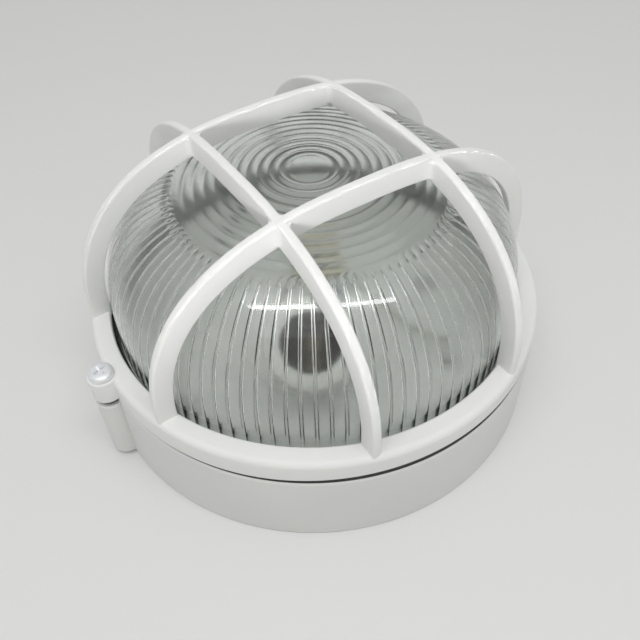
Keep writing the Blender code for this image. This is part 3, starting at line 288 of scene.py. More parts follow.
# Finishes: a surface's colour wanders between two tones and its roughness between two glosses, with
# mottle and smear features per metre, over grains of (features per metre, height)
FINISHES = {
    "zinc_plated_steel": dict(
        tones=((0.62, 0.64, 0.68), (0.78, 0.77, 0.73)), mottle=260, gloss=(0.20, 0.38), smear=900,
        grains=((2600, 0.000008),), Metallic=1.0,
    ),
    "pale_zinc": dict(
        tones=((0.84, 0.87, 0.92), (0.92, 0.92, 0.92)), mottle=260, gloss=(0.38, 0.54), smear=900,
        grains=((2600, 0.000008),), Metallic=0.5,
    ),
    "brass": dict(
        tones=((0.19, 0.16, 0.11), (0.28, 0.24, 0.17)), mottle=180, gloss=(0.52, 0.68), smear=700,
        grains=((2200, 0.00001),), Metallic=1.0,
    ),
    # The thread shell's brass, darker than the brass: painted shade for the inside of the socket
    "dull_brass_painted_shade": dict(
        tones=((0.07, 0.065, 0.05), (0.14, 0.125, 0.10)), mottle=240, detail=4, gloss=(0.55, 0.70),
        smear=800, grains=((2200, 0.00001),), Metallic=1.0,
    ),
    # Porcelain tones set grey, below white porcelain, as painted shade on the holder under the glass
    "glazed_porcelain": dict(
        tones=((0.58, 0.58, 0.55), (0.66, 0.66, 0.63)), mottle=130, detail=5, gloss=(0.24, 0.34),
        smear=300, grains=((220, 0.00003),),
    ),
    # Near black for the inside of the socket's bore: painted shade for its depth
    "socket_painted_shade": dict(
        tones=((0.035, 0.032, 0.027), (0.075, 0.068, 0.055)), mottle=200, detail=4, gloss=(0.72, 0.90),
        smear=500, grains=((1400, 0.00003),), grain_detail=3,
    ),
}
NOISE_RANGE = (0.3, 0.7)

# Powder coat: orange peel and finer grain; tones relative to the level of white. The body's level is set
# lower than the guard's, though both wear the same white paint, as painted shade on the lower casting
COAT_LEVELS_WITH_PAINTED_SHADE = {"white_powder_coat_body_painted_shade": 0.785, "white_powder_coat_guard": 0.895}
COAT_DARK = (0.98, 0.985, 0.97)
COAT_LIGHT = (1.02, 1.02, 1.0)
COAT = dict(
    mottle=22, gloss=(0.47, 0.57), smear=90, grains=((650, 0.00003), (2600, 0.000006)),
    Specular_IOR_Level=0.25,
)

# Plastics, each as (colour, roughness)
PLASTICS = {
    "ivory_nylon": ((0.74, 0.70, 0.56), 0.45),
    "white_plastic": ((0.78, 0.78, 0.76), 0.42),
    "brown_insulation": ((0.17, 0.12, 0.09), 0.45),
    "blue_insulation": ((0.13, 0.16, 0.22), 0.45),
    "green_insulation": ((0.46, 0.50, 0.40), 0.45),
}
PLASTIC_DARK = 0.94
PLASTIC_LIGHT = 1.05
PLASTIC_GLOSSIER = 0.06
PLASTIC_DULLER = 0.08
PLASTIC = dict(mottle=160, smear=500, grains=((1500, 0.000012),))

# Rubbers: darkest and lightest grey; the gasket is darkened to near black as painted shade where it lies in
# the gap under the guard, and is lighter grey where it faces the inside
RUBBERS = {"black_rubber": (0.010, 0.024), "grey_rubber": (0.44, 0.54)}
RUBBER_MOTTLE = 150
RUBBER = dict(gloss=(0.50, 0.72), smear=400, grains=((1800, 0.00002),), grain_detail=3)
GASKET_GREY = (0.03, 0.03, 0.03)
GASKET_PAINTED_SHADE_BLACK = (0.008, 0.008, 0.008)
GASKET_INNER_GREY = (0.095, 0.097, 0.095)

# Pressed glass: polished outside, duller where the mould's plunger formed it
GLASS_COLOUR = (0.955, 0.975, 0.962)
GLASS_SHADOW = (0.45, 0.475, 0.455)
GLASS_IOR = 1.5
GLASS_GLOSS = {"clear_pressed_glass": (0.012, 0.035), "mould_side_glass": (0.14, 0.20)}
GLASS_WAVES = dict(smear=120, grains=((70, 0.00004),), grain_detail=1)


# Shapes

def rounded(corners, steps=ARC_STEPS):
    """Closed outline of (x, y, radius) corners, with each corner's radius drawn as an arc."""
    outline = []
    for index, (x, y, radius) in enumerate(corners):
        here = Vector((x, y))
        if radius == 0:
            outline.append((x, y))
            continue
        before = (Vector(corners[index - 1][:2]) - here).normalized()
        after = (Vector(corners[(index + 1) % len(corners)][:2]) - here).normalized()
        half = before.angle(after) / 2
        centre = here + (before + after).normalized() * (radius / math.sin(half))
        start = here + before * (radius / math.tan(half)) - centre
        end = here + after * (radius / math.tan(half)) - centre
        first = math.atan2(start.y, start.x)
        sweep = math.atan2(end.y, end.x) - first
        sweep -= math.tau * round(sweep / math.tau)
        for step in range(steps + 1):
            angle = first + sweep * step / steps
            outline.append((centre.x + radius * math.cos(angle), centre.y + radius * math.sin(angle)))
    return outline


def stacked(loops, closed):
    """Mesh data for a stack of closed loops of points; a one-point loop is a pole."""
    points = []
    starts = []
    for loop in loops:
        starts.append(len(points))
        points += loop
    faces = []
    pairs = list(zip(range(len(loops)), range(1, len(loops))))
    if closed:
        pairs.append((len(loops) - 1, 0))
    for low, high in pairs:
        faces += band(starts[low], len(loops[low]), starts[high], len(loops[high]))
    return points, faces


def band(low, low_count, high, high_count):
    """Faces between two loops; the longer one has a whole number of points for each of the shorter."""
    if low_count == 1 and high_count == 1:
        return []
    if low_count == 1:
        return [(low, high + (i + 1) % high_count, high + i) for i in range(high_count)]
    if high_count == 1:
        return [(high, low + i, low + (i + 1) % low_count) for i in range(low_count)]
    if low_count == high_count:
        return [
            (low + i, low + (i + 1) % low_count, high + (i + 1) % low_count, high + i)
            for i in range(low_count)
        ]
    flip = low_count > high_count
    few, few_count, many, many_count = (
        (high, high_count, low, low_count) if flip else (low, low_count, high, high_count)
    )
    share = many_count // few_count
    faces = []
    for i in range(few_count):
        near = few + i
        after = few + (i + 1) % few_count
        run = [many + (i * share + step) % many_count for step in range(share + 1)]
        middle = share // 2
        for step in range(share):
            corner = near if step < middle else after
            faces.append((corner, run[step + 1], run[step]))
        faces.append((near, after, run[middle]))
    return [tuple(reversed(face)) for face in faces] if flip else faces


def circle(radius, height, count):
    if radius == 0:
        return [(0.0, 0.0, height)]
    turn = math.tau / count
    return [(radius * math.cos(turn * i), radius * math.sin(turn * i), height) for i in range(count)]


def turned(profile, count=SMALL_TURNS):
    """Spin a closed outline of (radius, height) points round Z."""
    return stacked([circle(radius, height, count) for radius, height in profile], closed=True)


def rod(radius, bottom, top, count=SMALL_TURNS):
    return turned([(0, bottom), (radius, bottom), (radius, top), (0, top)], count)


def tube(bore, radius, bottom, top, edge, count=SMALL_TURNS):
    """Round tube with its four edges rounded."""
    corners = [(bore, bottom, edge), (radius, bottom, edge), (radius, top, edge), (bore, top, edge)]
    return turned(rounded(corners), count)


def prism(loops):
    """Closed solid through a stack of outlines with flat ends."""
    points, faces = stacked(loops, closed=False)
    count = len(loops[0])
    faces.append(tuple(reversed(range(count))))
    faces.append(tuple(range(len(points) - count, len(points))))
    return points, faces


def box(low, high):
    outline = [(low[0], low[1]), (high[0], low[1]), (high[0], high[1]), (low[0], high[1])]
    return prism([[(x, y, z) for x, y in outline] for z in (low[2], high[2])])


def placed(shape, matrix):
    points, faces = shape
    return [tuple(matrix @ Vector(point)) for point in points], faces


def raw_piece(name, shape):
    """Object of a closed shape with outward faces."""
    mesh = bpy.data.meshes.new(name)
    mesh.from_pydata(shape[0], [], shape[1])
    work = bmesh.new()
    work.from_mesh(mesh)
    bmesh.ops.recalc_face_normals(work, faces=work.faces)
    if work.calc_volume(signed=True) < 0:
        bmesh.ops.reverse_faces(work, faces=work.faces)
    work.to_mesh(mesh)
    work.free()
    piece = bpy.data.objects.new(name, mesh)
    bpy.context.scene.collection.objects.link(piece)
    return piece


def combined(piece, shapes, operation):
    """Add or cut closed shapes with Booleans, and keep the result as the piece's own mesh."""
    helpers = [raw_piece("helper", shape) for shape in shapes]
    for helper in helpers:
        modifier = piece.modifiers.new("combine", "BOOLEAN")
        modifier.operation = operation
        modifier.solver = "EXACT"
        modifier.object = helper
    graph = bpy.context.evaluated_depsgraph_get()
    result = bpy.data.meshes.new_from_object(piece.evaluated_get(graph))
    result.name = piece.name
    piece.modifiers.clear()
    piece.data = result
    for helper in helpers:
        bpy.data.objects.remove(helper, do_unlink=True)
    return piece


def finished(piece, material, nodes, angle=SMOOTH_ANGLE):
    """Shade a piece, give it its material, and let it stand for its CAD nodes."""
    mesh = piece.data
    mesh.materials.clear()
    mesh.materials.append(material)
    mesh.shade_smooth()
    mesh.set_sharp_from_angle(angle=angle)
    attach(piece, "root")
    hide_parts(*nodes)
    return piece


def both_sides(shape):
    """A shape made at +X, and its twin turned to -X."""
    return [shape, placed(shape, Matrix.Rotation(math.pi, 4, "Z"))]


# Materials

def new_material(name, colour, roughness, **sockets):
    """A Principled material; returns it with its tree, its shader and its object coordinates."""
    material = bpy.data.materials.new(name)
    material.use_nodes = True
    tree = material.node_tree
    shader = tree.nodes["Principled BSDF"]
    shader.inputs["Base Color"].default_value = (*colour, 1)
    shader.inputs["Roughness"].default_value = roughness
    for socket, value in sockets.items():
        shader.inputs[socket.replace("_", " ")].default_value = value
    coordinates = tree.nodes.new("ShaderNodeTexCoord").outputs["Object"]
    return material, tree, shader, coordinates


def noise(tree, coordinates, scale, detail=3.0):
    """Noise value over object space; scale is in features per metre."""
    node = tree.nodes.new("ShaderNodeTexNoise")
    node.inputs["Scale"].default_value = scale
    node.inputs["Detail"].default_value = detail
    tree.links.new(coordinates, node.inputs["Vector"])
    return node.outputs["Fac"]


def mapped(tree, value, before, after):
    """Map a value from one (low, high) range to another, held at both ends."""
    node = tree.nodes.new("ShaderNodeMapRange")
    node.inputs["From Min"].default_value, node.inputs["From Max"].default_value = before
    node.inputs["To Min"].default_value, node.inputs["To Max"].default_value = after
    tree.links.new(value, node.inputs["Value"])
    return node.outputs["Result"]


def tint(tree, shader, factor, dark, light):
    """Base colour between two colours."""
    node = tree.nodes.new("ShaderNodeMix")
    node.data_type = "RGBA"
    node.inputs["A"].default_value = (*dark, 1)
    node.inputs["B"].default_value = (*light, 1)
    tree.links.new(factor, node.inputs["Factor"])
    tree.links.new(node.outputs["Result"], shader.inputs["Base Color"])


def wander(tree, place, scale, detail=3.0):
    """Factor that drifts between 0 and 1 over the surface."""
    return mapped(tree, noise(tree, place, scale, detail), NOISE_RANGE, (0.0, 1.0))


def texture(tree, shader, place, gloss, smear, grains, grain_detail=2):
    """Roughness that wanders between two values, and a chain of fine bumps."""
    rough = mapped(tree, noise(tree, place, smear), NOISE_RANGE, gloss)
    tree.links.new(rough, shader.inputs["Roughness"])
    normal = None
    for scale, height in grains:
        node = tree.nodes.new("ShaderNodeBump")
        node.inputs["Strength"].default_value = 1.0
        node.inputs["Distance"].default_value = height
        tree.links.new(noise(tree, place, scale, grain_detail), node.inputs["Height"])
        if normal is not None:
            tree.links.new(normal, node.inputs["Normal"])
        normal = node.outputs["Normal"]
    tree.links.new(normal, shader.inputs["Normal"])


def surface(name, tones, mottle, gloss, smear, grains, detail=3.0, grain_detail=2, **sockets):
    """A material whose colour and roughness wander, under a fine relief."""
    middle = [(low + high) / 2 for low, high in zip(*tones)]
    material, tree, shader, place = new_material(name, middle, sum(gloss) / 2, **sockets)
    tint(tree, shader, wander(tree, place, mottle, detail), *tones)
    texture(tree, shader, place, gloss, smear, grains, grain_detail)
    return material


def finish(name):
    return surface(name, **FINISHES[name])


def powder_coat(name):
    """Satin white powder coat: faint orange peel, a finer grain, and a slightly warmer drift of colour."""
    level = COAT_LEVELS_WITH_PAINTED_SHADE[name]
    tones = [[level * channel for channel in tone] for tone in (COAT_DARK, COAT_LIGHT)]
    return surface(name, tones, **COAT)


def moulded(name):
    """Moulded plastic: a slight mottle and the fine texture of its tool."""
    colour, roughness = PLASTICS[name]
    tones = [[min(channel * share, 1.0) for channel in colour] for share in (PLASTIC_DARK, PLASTIC_LIGHT)]
    gloss = (roughness - PLASTIC_GLOSSIER, roughness + PLASTIC_DULLER)
    return surface(name, tones, gloss=gloss, **PLASTIC)


def rubber(name):
    return surface(name, [[grey] * 3 for grey in RUBBERS[name]], RUBBER_MOTTLE, **RUBBER)


def gasket_rubber():
    """Black rubber, darkened to near black as painted shade outward and above the flange, in the gap under
    the guard; lighter grey where it faces the inside.
    """
    material, tree, shader, place = new_material("gasket_rubber", GASKET_GREY, sum(RUBBER["gloss"]) / 2)
    flat = tree.nodes.new("ShaderNodeVectorMath")
    flat.operation = "MULTIPLY"
    flat.inputs[1].default_value = (1, 1, 0)
    tree.links.new(place, flat.inputs[0])
    reach = tree.nodes.new("ShaderNodeVectorMath")
    reach.operation = "LENGTH"
    tree.links.new(flat.outputs["Vector"], reach.inputs[0])
    parts = tree.nodes.new("ShaderNodeSeparateXYZ")
    tree.links.new(place, parts.inputs["Vector"])
    # Lighter grey only low and inside; outward or above the flange the colour is painted shade for the gap
    # under the guard
    inward = mapped(tree, reach.outputs["Value"], (FLANGE_RADIUS + TOUCH, GASKET_HIGH.x), (1.0, 0.0))
    below = mapped(tree, parts.outputs["Z"], (FLANGE_TOP, GASKET_HIGH.z), (1.0, 0.0))
    tint(tree, shader, joined(tree, "MINIMUM", inward, below), GASKET_PAINTED_SHADE_BLACK, GASKET_INNER_GREY)
    texture(tree, shader, place, **RUBBER)
    return material


def joined(tree, operation, first, second):
    """One value worked out from two."""
    node = tree.nodes.new("ShaderNodeMath")
    node.operation = operation
    tree.links.new(first, node.inputs[0])
    tree.links.new(second, node.inputs[1])
    return node.outputs["Value"]


def pressed_glass(name):
    """Clear pressed glass with a trace of green; lamps light what lies behind it."""
    gloss = GLASS_GLOSS[name]
    material, tree, shader, place = new_material(
        name, GLASS_COLOUR, gloss[0], Transmission_Weight=1.0, IOR=GLASS_IOR,
    )
    texture(tree, shader, place, gloss, **GLASS_WAVES)
    clear = tree.nodes.new("ShaderNodeBsdfTransparent")
    clear.inputs["Color"].default_value = (*GLASS_SHADOW, 1)
    path = tree.nodes.new("ShaderNodeLightPath")
    choice = tree.nodes.new("ShaderNodeMixShader")
    tree.links.new(path.outputs["Is Shadow Ray"], choice.inputs["Fac"])
    tree.links.new(shader.outputs["BSDF"], choice.inputs[1])
    tree.links.new(clear.outputs["BSDF"], choice.inputs[2])
    tree.links.new(choice.outputs["Shader"], tree.nodes["Material Output"].inputs["Surface"])
    return material


# Castings

def wall_radius(height):
    share = height / BODY_HEIGHT
    return BODY_BASE_RADIUS + (BODY_TOP_RADIUS - BODY_BASE_RADIUS) * share


def lug(inner, bottom, top, draft, flare):
    """Round lug with a web to the wall, a rounded rim at its free ends."""
    loops = []
    angles = [math.pi / 2 * step / ARC_STEPS for step in range(ARC_STEPS + 1)]
    rim = [(LUG_ROUND * (1 - math.sin(a)), LUG_ROUND * (1 - math.cos(a))) for a in angles]
    rows = [(inset, bottom + rise) for inset, rise in rim]
    rows += [(inset, top - rise) for inset, rise in reversed(rim)]
    for inset, height in rows:
        share = (top - height) / (top - bottom)
        radius = LUG_RADIUS + draft * share - inset
        half = LUG_WEB + flare * share - inset
        outline = [(inner, -half)]
        for step in range(LUG_POINTS + 1):
            angle = LUG_ARC * (2 * step / LUG_POINTS - 1)
            outline.append((LUG_CENTRE + radius * math.cos(angle), radius * math.sin(angle)))
        outline.append((inner, half))
        loops.append([(x, y, height) for x, y in outline])
    return prism(loops)


def body_casting(paint):
    floor_wall = CORE_RADIUS - INNER_WALL_DRAFT
    channel_top = SHELF_Z - SHELF_THICKNESS
    rim_inner = BODY_TOP_RADIUS - BODY_WALL
    profile = rounded([
        (wall_radius(0), 0, BODY_EDGE),
        (BODY_TOP_RADIUS, BODY_HEIGHT, BODY_EDGE),
        (rim_inner, BODY_HEIGHT, BODY_EDGE),
        (rim_inner, SHELF_Z, CAST_FILLET / 2),
        (CORE_RADIUS, SHELF_Z, BODY_EDGE),
        (floor_wall, FLOOR, FLOOR_FILLET),
        (PLATEAU_RADIUS + PLATEAU_HEIGHT / 3, FLOOR, CAST_FILLET),
        (PLATEAU_RADIUS, PLATEAU_Z, CAST_FILLET),
        (0, PLATEAU_Z, 0),
        (0, 0, 0),
        (floor_wall + INNER_WALL, 0, BODY_EDGE),
        (CORE_RADIUS + INNER_WALL, channel_top, CAST_FILLET),
        (wall_radius(channel_top) - BODY_WALL, channel_top, CAST_FILLET),
        (wall_radius(0) - BODY_WALL, 0, BODY_EDGE),
    ])
    piece = raw_piece("body_casting", turned(profile, TURNS))
    boss_start = CORE_RADIUS - ENTRY_SHOULDER / 2
    boss_end = wall_radius(ENTRY_HEIGHT) + ENTRY_BOSS_PROUD
    boss = turned(rounded([
        (0, boss_start, 0),
        (ENTRY_BOSS_RADIUS, boss_start, 0),
        (ENTRY_BOSS_RADIUS, boss_end, CAST_FILLET / 2),
        (0, boss_end, 0),
    ]))
    pad = box(
        (-BLOCK_WIDTH / 2, -BLOCK_LENGTH / 2, -FLOOR / 2), (BLOCK_WIDTH / 2, BLOCK_LENGTH / 2, BLOCK_PAD),
    )
    earth = rod(EARTH_BOSS_RADIUS, -FLOOR / 2, EARTH_BOSS_HEIGHT)
    inner = BODY_TOP_RADIUS - CAST_FILLET / 2
    lugs = both_sides(lug(inner, LUG_BASE, LUG_LOWER_TOP - LUG_STEP, LUG_DRAFT, LUG_WEB_FLARE))
    extra = [placed(boss, ENTRY_FRAME), placed(pad, BLOCK_FRAME), placed(earth, EARTH_FRAME)]
    combined(piece, lugs + extra, "UNION")
    combined(piece, body_holes(boss_start, boss_end), "DIFFERENCE")
    return finished(piece, paint, ["base_body"])


def body_holes(boss_start, boss_end):
    """Screw ways, wall fixings, cable entry, and the small screws' holes in the floor."""
    screw_floor = SCREW_HIGH.z - HEAD_HEIGHT - SCREW_REACH - LUG_GAP - RING_PLATE
    spot_face = LUG_LOWER_TOP - LUG_STEP + TOUCH / 2
    screw_way = turned([
        (0, screw_floor),
        (SCREW_HOLE, screw_floor),
        (SCREW_HOLE, spot_face),
        (RETAINER_RADIUS + TOUCH, spot_face),
        (RETAINER_RADIUS + TOUCH, BODY_HEIGHT + LUG_GAP),
        (0, BODY_HEIGHT + LUG_GAP),
    ])
    cuts = both_sides(placed(screw_way, Matrix.Translation((LUG_CENTRE, 0, 0))))
    fixing = rod(FIXING_HOLE, -FLOOR, FLOOR * 2)
    cuts += both_sides(placed(fixing, Matrix.Translation((FIXING_DISTANCE, 0, 0))))
    entry = turned([
        (0, boss_start - ENTRY_SHOULDER),
        (ENTRY_SHOULDER_BORE, boss_start - ENTRY_SHOULDER),
        (ENTRY_SHOULDER_BORE, boss_start + ENTRY_SHOULDER),
        (ENTRY_BORE, boss_start + ENTRY_SHOULDER),
        (ENTRY_BORE, boss_end + ENTRY_SHOULDER),
        (0, boss_end + ENTRY_SHOULDER),
    ])
    cuts.append(placed(entry, ENTRY_FRAME))
    earth_hole = rod(SMALL_HOLE, EARTH_BOSS_HEIGHT - FLOOR_HOLE_DEPTH, EARTH_BOSS_HEIGHT + FLOOR)
    cuts.append(placed(earth_hole, EARTH_FRAME))
    for side in (-1, 1):
        hole = rod(BLOCK_HOLE, -FLOOR / 2, BLOCK_PAD + FLOOR)
        cuts.append(placed(hole, BLOCK_FRAME @ Matrix.Translation((0, side * POLE_PITCH / 2, 0))))
        hole = rod(SMALL_HOLE, PLATEAU_Z - FLOOR_HOLE_DEPTH, PLATEAU_Z + FLOOR)
        spot = Matrix.Translation((STRIP_HOLE_OUT, side * STRIP_HOLE_SPREAD, 0))
        cuts.append(placed(hole, HEADING_FRAME @ spot))
    return cuts


def bar_height(along):
    """Height of a bar's outer edge at a distance from its middle."""
    share = 1 - (abs(along) / BAR_HALF_SPAN) ** BAR_SIDE_POWER
    return RING_TOP + BAR_RISE * share ** (1 / BAR_TOP_POWER)


def arch_point(share):
    """Outer edge of a bar, from foot to foot."""
    angle = math.pi * share
    side = math.copysign(abs(math.cos(angle)) ** (2 / BAR_SIDE_POWER), math.cos(angle))
    rise = abs(math.sin(angle)) ** (2 / BAR_TOP_POWER)
    return Vector((BAR_HALF_SPAN * side, 0, RING_TOP + BAR_RISE * rise))


def guard_bar():
    """Arched bar in the XZ plane: flat sides, a well rounded outer edge and a softer inner one."""
    foot_depth = BAR_HALF_SPAN - math.sqrt(RING_OPENING ** 2 - BAR_OFFSET ** 2)
    half = BAR_THICKNESS / 2
    nudge = 0.5 / ARCH_STEPS
    loops = []
    for step in range(-1, ARCH_STEPS + 2):
        share = min(max(step / ARCH_STEPS, 0), 1)
        outer = arch_point(share)
        if 0 < share < 1:
            along = arch_point(share + nudge) - arch_point(share - nudge)
            inward = Vector((along.z, 0, -along.x)).normalized()
            if inward.dot(Vector((0, 0, RING_TOP)) - outer) < 0:
                inward.negate()
        else:
            inward = Vector((-math.copysign(1, outer.x), 0, 0))
            outer.z = RING_TOP if 0 <= step <= ARCH_STEPS else RING_TOP - BAR_ROOT
        depth = foot_depth + (BAR_CROWN_DEPTH - foot_depth) * math.sin(math.pi * share)
        section = rounded([
            (depth, -half, BAR_INNER_ROUND),
            (0, -half, BAR_ROUND),
            (0, half, BAR_ROUND),
            (depth, half, BAR_INNER_ROUND),
        ])
        loops.append([tuple(outer + inward * inset + Vector((0, across, 0))) for inset, across in section])
    return prism(loops)


def crossing_fillet(x_side, y_side):
    """Concave filler in one inside corner where two bars cross."""
    half = BAR_THICKNESS / 2
    sunk = half / 2
    outline = [(-sunk, -sunk), (CROSSING_FILLET, -sunk)]
    for step in range(ARC_STEPS * 2 + 1):
        angle = math.radians(270 - 90 * step / (ARC_STEPS * 2))
        outline.append((
            CROSSING_FILLET + CROSSING_FILLET * math.cos(angle),
            CROSSING_FILLET + CROSSING_FILLET * math.sin(angle),
        ))
    outline.append((-sunk, CROSSING_FILLET))
    low, high = [], []
    for u, v in outline:
        x = BAR_OFFSET + x_side * (half + u)
        y = BAR_OFFSET + y_side * (half + v)
        top = min(bar_height(x), bar_height(y)) - BAR_ROUND
        high.append((x, y, top))
        low.append((x, y, top - BAR_CROWN_DEPTH + 2 * BAR_ROUND + BAR_INNER_ROUND))
    return prism([low, high])


def skirt_bow(x, y):
    """How far the skirt's lower edge lies above its height at the lugs."""
    return SKIRT_BOW * (y / math.hypot(x, y)) ** 2


def guard_casting(paint):
    profile = rounded([
        (SKIRT_INNER_RADIUS, SKIRT_BOTTOM, BODY_EDGE / 2),
        (RING_RADIUS, SKIRT_BOTTOM, BODY_EDGE / 2),
        (RING_RADIUS, RING_TOP, RING_TOP_ROUND),
        (RING_OPENING, RING_TOP, RING_INNER_ROUND),
        (RING_OPENING, PLATE_BOTTOM, BODY_EDGE / 2),
        (SKIRT_INNER_RADIUS, PLATE_BOTTOM, CAST_FILLET / 2),
    ], steps=RING_ROUND_STEPS)
    points, faces = turned(profile, TURNS)
    low_edge = SKIRT_BOTTOM + BODY_EDGE
    points = [(x, y, z + (skirt_bow(x, y) if z < low_edge else 0)) for x, y, z in points]
    piece = raw_piece("guard_casting", (points, faces))
    bar = placed(guard_bar(), Matrix.Translation((0, BAR_OFFSET, 0)))
    quarter_turns = [Matrix.Rotation(index * math.pi / 2, 4, "Z") for index in range(4)]
    fillets = [crossing_fillet(x_side, y_side) for x_side in (-1, 1) for y_side in (-1, 1)]
    shapes = [placed(bar, turn) for turn in quarter_turns]
    shapes += [placed(shape, turn) for turn in quarter_turns for shape in fillets]
    shapes += both_sides(lug(RING_RADIUS - RING_TOP_ROUND + TOUCH, SKIRT_BOTTOM + TOUCH, RING_TOP, 0, 0))
    combined(piece, shapes, "UNION")
    hole = rod(SCREW_HOLE, SKIRT_BOTTOM - LUG_GAP, RING_TOP + LUG_GAP)
    holes = both_sides(placed(hole, Matrix.Translation((LUG_CENTRE, 0, 0))))
    combined(piece, holes, "DIFFERENCE")
    return finished(piece, paint, ["guard"])


# Glass

def dome_height(radius, rise, at_radius):
    """Height of the superellipse section, with its swelled crown, at a radius."""
    angle = math.acos(min(1, at_radius / radius) ** (GLASS_SIDE_POWER / 2))
    swell = CROWN_SWELL * max(0, 1 - (at_radius / CROWN_SWELL_RADIUS) ** 2) ** 2
    return FLANGE_TOP + rise * math.sin(angle) ** (2 / GLASS_TOP_POWER) + swell


def dome_point(radius, rise, share):
    """Point of the section, share 0 at its foot and 1 on the axis."""
    at_radius = radius * max(0, math.cos(math.pi / 2 * share)) ** (2 / GLASS_SIDE_POWER)
    return at_radius, dome_height(radius, rise, at_radius)


def dome_share(radius, at_radius):
    return math.acos((at_radius / radius) ** (GLASS_SIDE_POWER / 2)) / (math.pi / 2)


def dome_slope(radius, rise, share):
    """Inward normal of the section as (towards the axis, down)."""
    r_low, z_low = dome_point(radius, rise, max(share - SLOPE_NUDGE, 0))
    r_high, z_high = dome_point(radius, rise, min(share + SLOPE_NUDGE, 1))
    length = math.hypot(z_high - z_low, r_low - r_high)
    return (z_high - z_low) / length, (r_low - r_high) / length


def ribbed_glass(outside, inside):
    """Smooth outside; inside, narrow upright ribs up to the shoulder and shallow rings on the crown."""
    inner_radius = GLASS_RADIUS - GLASS_WALL + FLUTE_HEIGHT / 2
    inner_rise = GLASS_RISE - GLASS_WALL + FLUTE_HEIGHT / 2
    loops = [[(0.0, 0.0, dome_height(GLASS_RADIUS, GLASS_RISE, 0))]]
    for row in range(1, OUTER_ROWS):
        share = (1 - row / OUTER_ROWS) ** OUTER_BUNCHING
        loops.append(circle(*dome_point(GLASS_RADIUS, GLASS_RISE, share), DOME_TURNS))
    foot = rounded([
        (GLASS_RADIUS, FLANGE_TOP, FLANGE_ROUND),
        (FLANGE_RADIUS, FLANGE_TOP, FLANGE_ROUND),
        (FLANGE_RADIUS, FLANGE_BOTTOM, FLANGE_ROUND),
        (inner_radius, FLANGE_BOTTOM, FLANGE_ROUND),
        (inner_radius, FLANGE_TOP, 0),
        (GLASS_RADIUS, FLANGE_TOP + FLANGE_THICKNESS, 0),
    ])
    loops += [circle(radius, height, DOME_TURNS) for radius, height in foot[:-2]]
    loops += flute_loops(inner_radius, inner_rise)
    loops += ring_loops(inner_radius, inner_rise)
    piece = raw_piece("ribbed_glass", stacked(loops, closed=False))
    finished(piece, outside, ["glass_dome"])
    piece.data.materials.append(inside)
    for face in piece.data.polygons:
        at_radius = min(math.hypot(face.center.x, face.center.y), GLASS_RADIUS)
        if face.center.z < dome_height(GLASS_RADIUS, GLASS_RISE, at_radius) - GLASS_WALL / 2:
            face.material_index = 1
    return piece


def flute_loops(radius, rise):
    """Narrow round ribs with wide flats between them, which end where the rings start."""
    count = FLUTES * FLUTE_POINTS
    end_share = dome_share(radius, FLUTE_END_RADIUS)
    loops = []
    for row in range(FLUTE_ROWS + 1):
        share = end_share * row / FLUTE_ROWS
        base_radius, height = dome_point(radius, rise, share)
        if row == 0:
            height = FLANGE_TOP - FLUTE_FOOT / 2
        towards, down = dome_slope(radius, rise, share)
        fade = min(1.0, row, (FLUTE_ROWS - row) / 2)
        loop = []
        for step in range(count):
            across = (step % FLUTE_POINTS - FLUTE_POINTS / 2) / (FLUTE_POINTS / 2 - 1)
            on_rib = abs(across) <= 1
            crest = FLUTE_HEIGHT * fade * (1 - across ** 2) if on_rib else 0
            phase = across * FLUTE_SHARE / 2 if on_rib else -0.5
            angle = math.tau * (step // FLUTE_POINTS + phase) / FLUTES
            reach = base_radius - towards * crest
            loop.append((reach * math.cos(angle), reach * math.sin(angle), height - down * crest))
        loops.append(loop)
    return loops


def ring_loops(radius, rise):
    """Shallow round rings that meet in sharp grooves, round a plain centre disc."""
    pitch = (RINGS_START - CENTRE_DISC) / RINGS
    loops = []
    for step in range(RINGS * RING_ROWS + 1):
        at_radius = RINGS_START - step * pitch / RING_ROWS
        crest = RING_HEIGHT * math.sin(math.pi * (step % RING_ROWS) / RING_ROWS)
        loops.append(circle(at_radius, dome_height(radius, rise, at_radius) - crest, DOME_TURNS))
    loops.append([(0.0, 0.0, dome_height(radius, rise, 0))])
    return loops


# Seals and fasteners

def rubber_gasket(material):
    """Rubber channel round the flange, with a thin bead over the body's rim that shows in the gap."""
    lip = GLASS_RADIUS + GASKET_LIP
    foot = CORE_RADIUS + TOUCH
    slot = FLANGE_RADIUS + TOUCH
    bead_low = BODY_HEIGHT + BEAD_CLEARANCE
    bead_high = SKIRT_BOTTOM - BEAD_CLEARANCE
    profile = rounded([
        (foot, GASKET_LOW.z, GASKET_ROUND),
        (GASKET_HIGH.x, GASKET_LOW.z, GASKET_ROUND),
        (GASKET_HIGH.x, bead_low, 0),
        (BEAD_RADIUS, bead_low, 0),
        (BEAD_RADIUS, bead_high, 0),
        (GASKET_HIGH.x, bead_high, 0),
        (GASKET_HIGH.x, GASKET_HIGH.z, GASKET_ROUND),
        (lip, GASKET_HIGH.z, GASKET_ROUND),
        (lip, FLANGE_TOP + TOUCH, GASKET_ROUND / 2),
        (slot, FLANGE_TOP + TOUCH, 0),
        (slot, FLANGE_BOTTOM - TOUCH, 0),
        (foot, FLANGE_BOTTOM - TOUCH, GASKET_ROUND / 2),
    ])
    points, faces = turned(profile, TURNS)
    points = [
        (x, y, z + (skirt_bow(x, y) if abs(z - bead_high) < TOUCH / 9 else 0)) for x, y, z in points
    ]
    return finished(raw_piece("rubber_gasket", (points, faces)), material, ["gasket"])


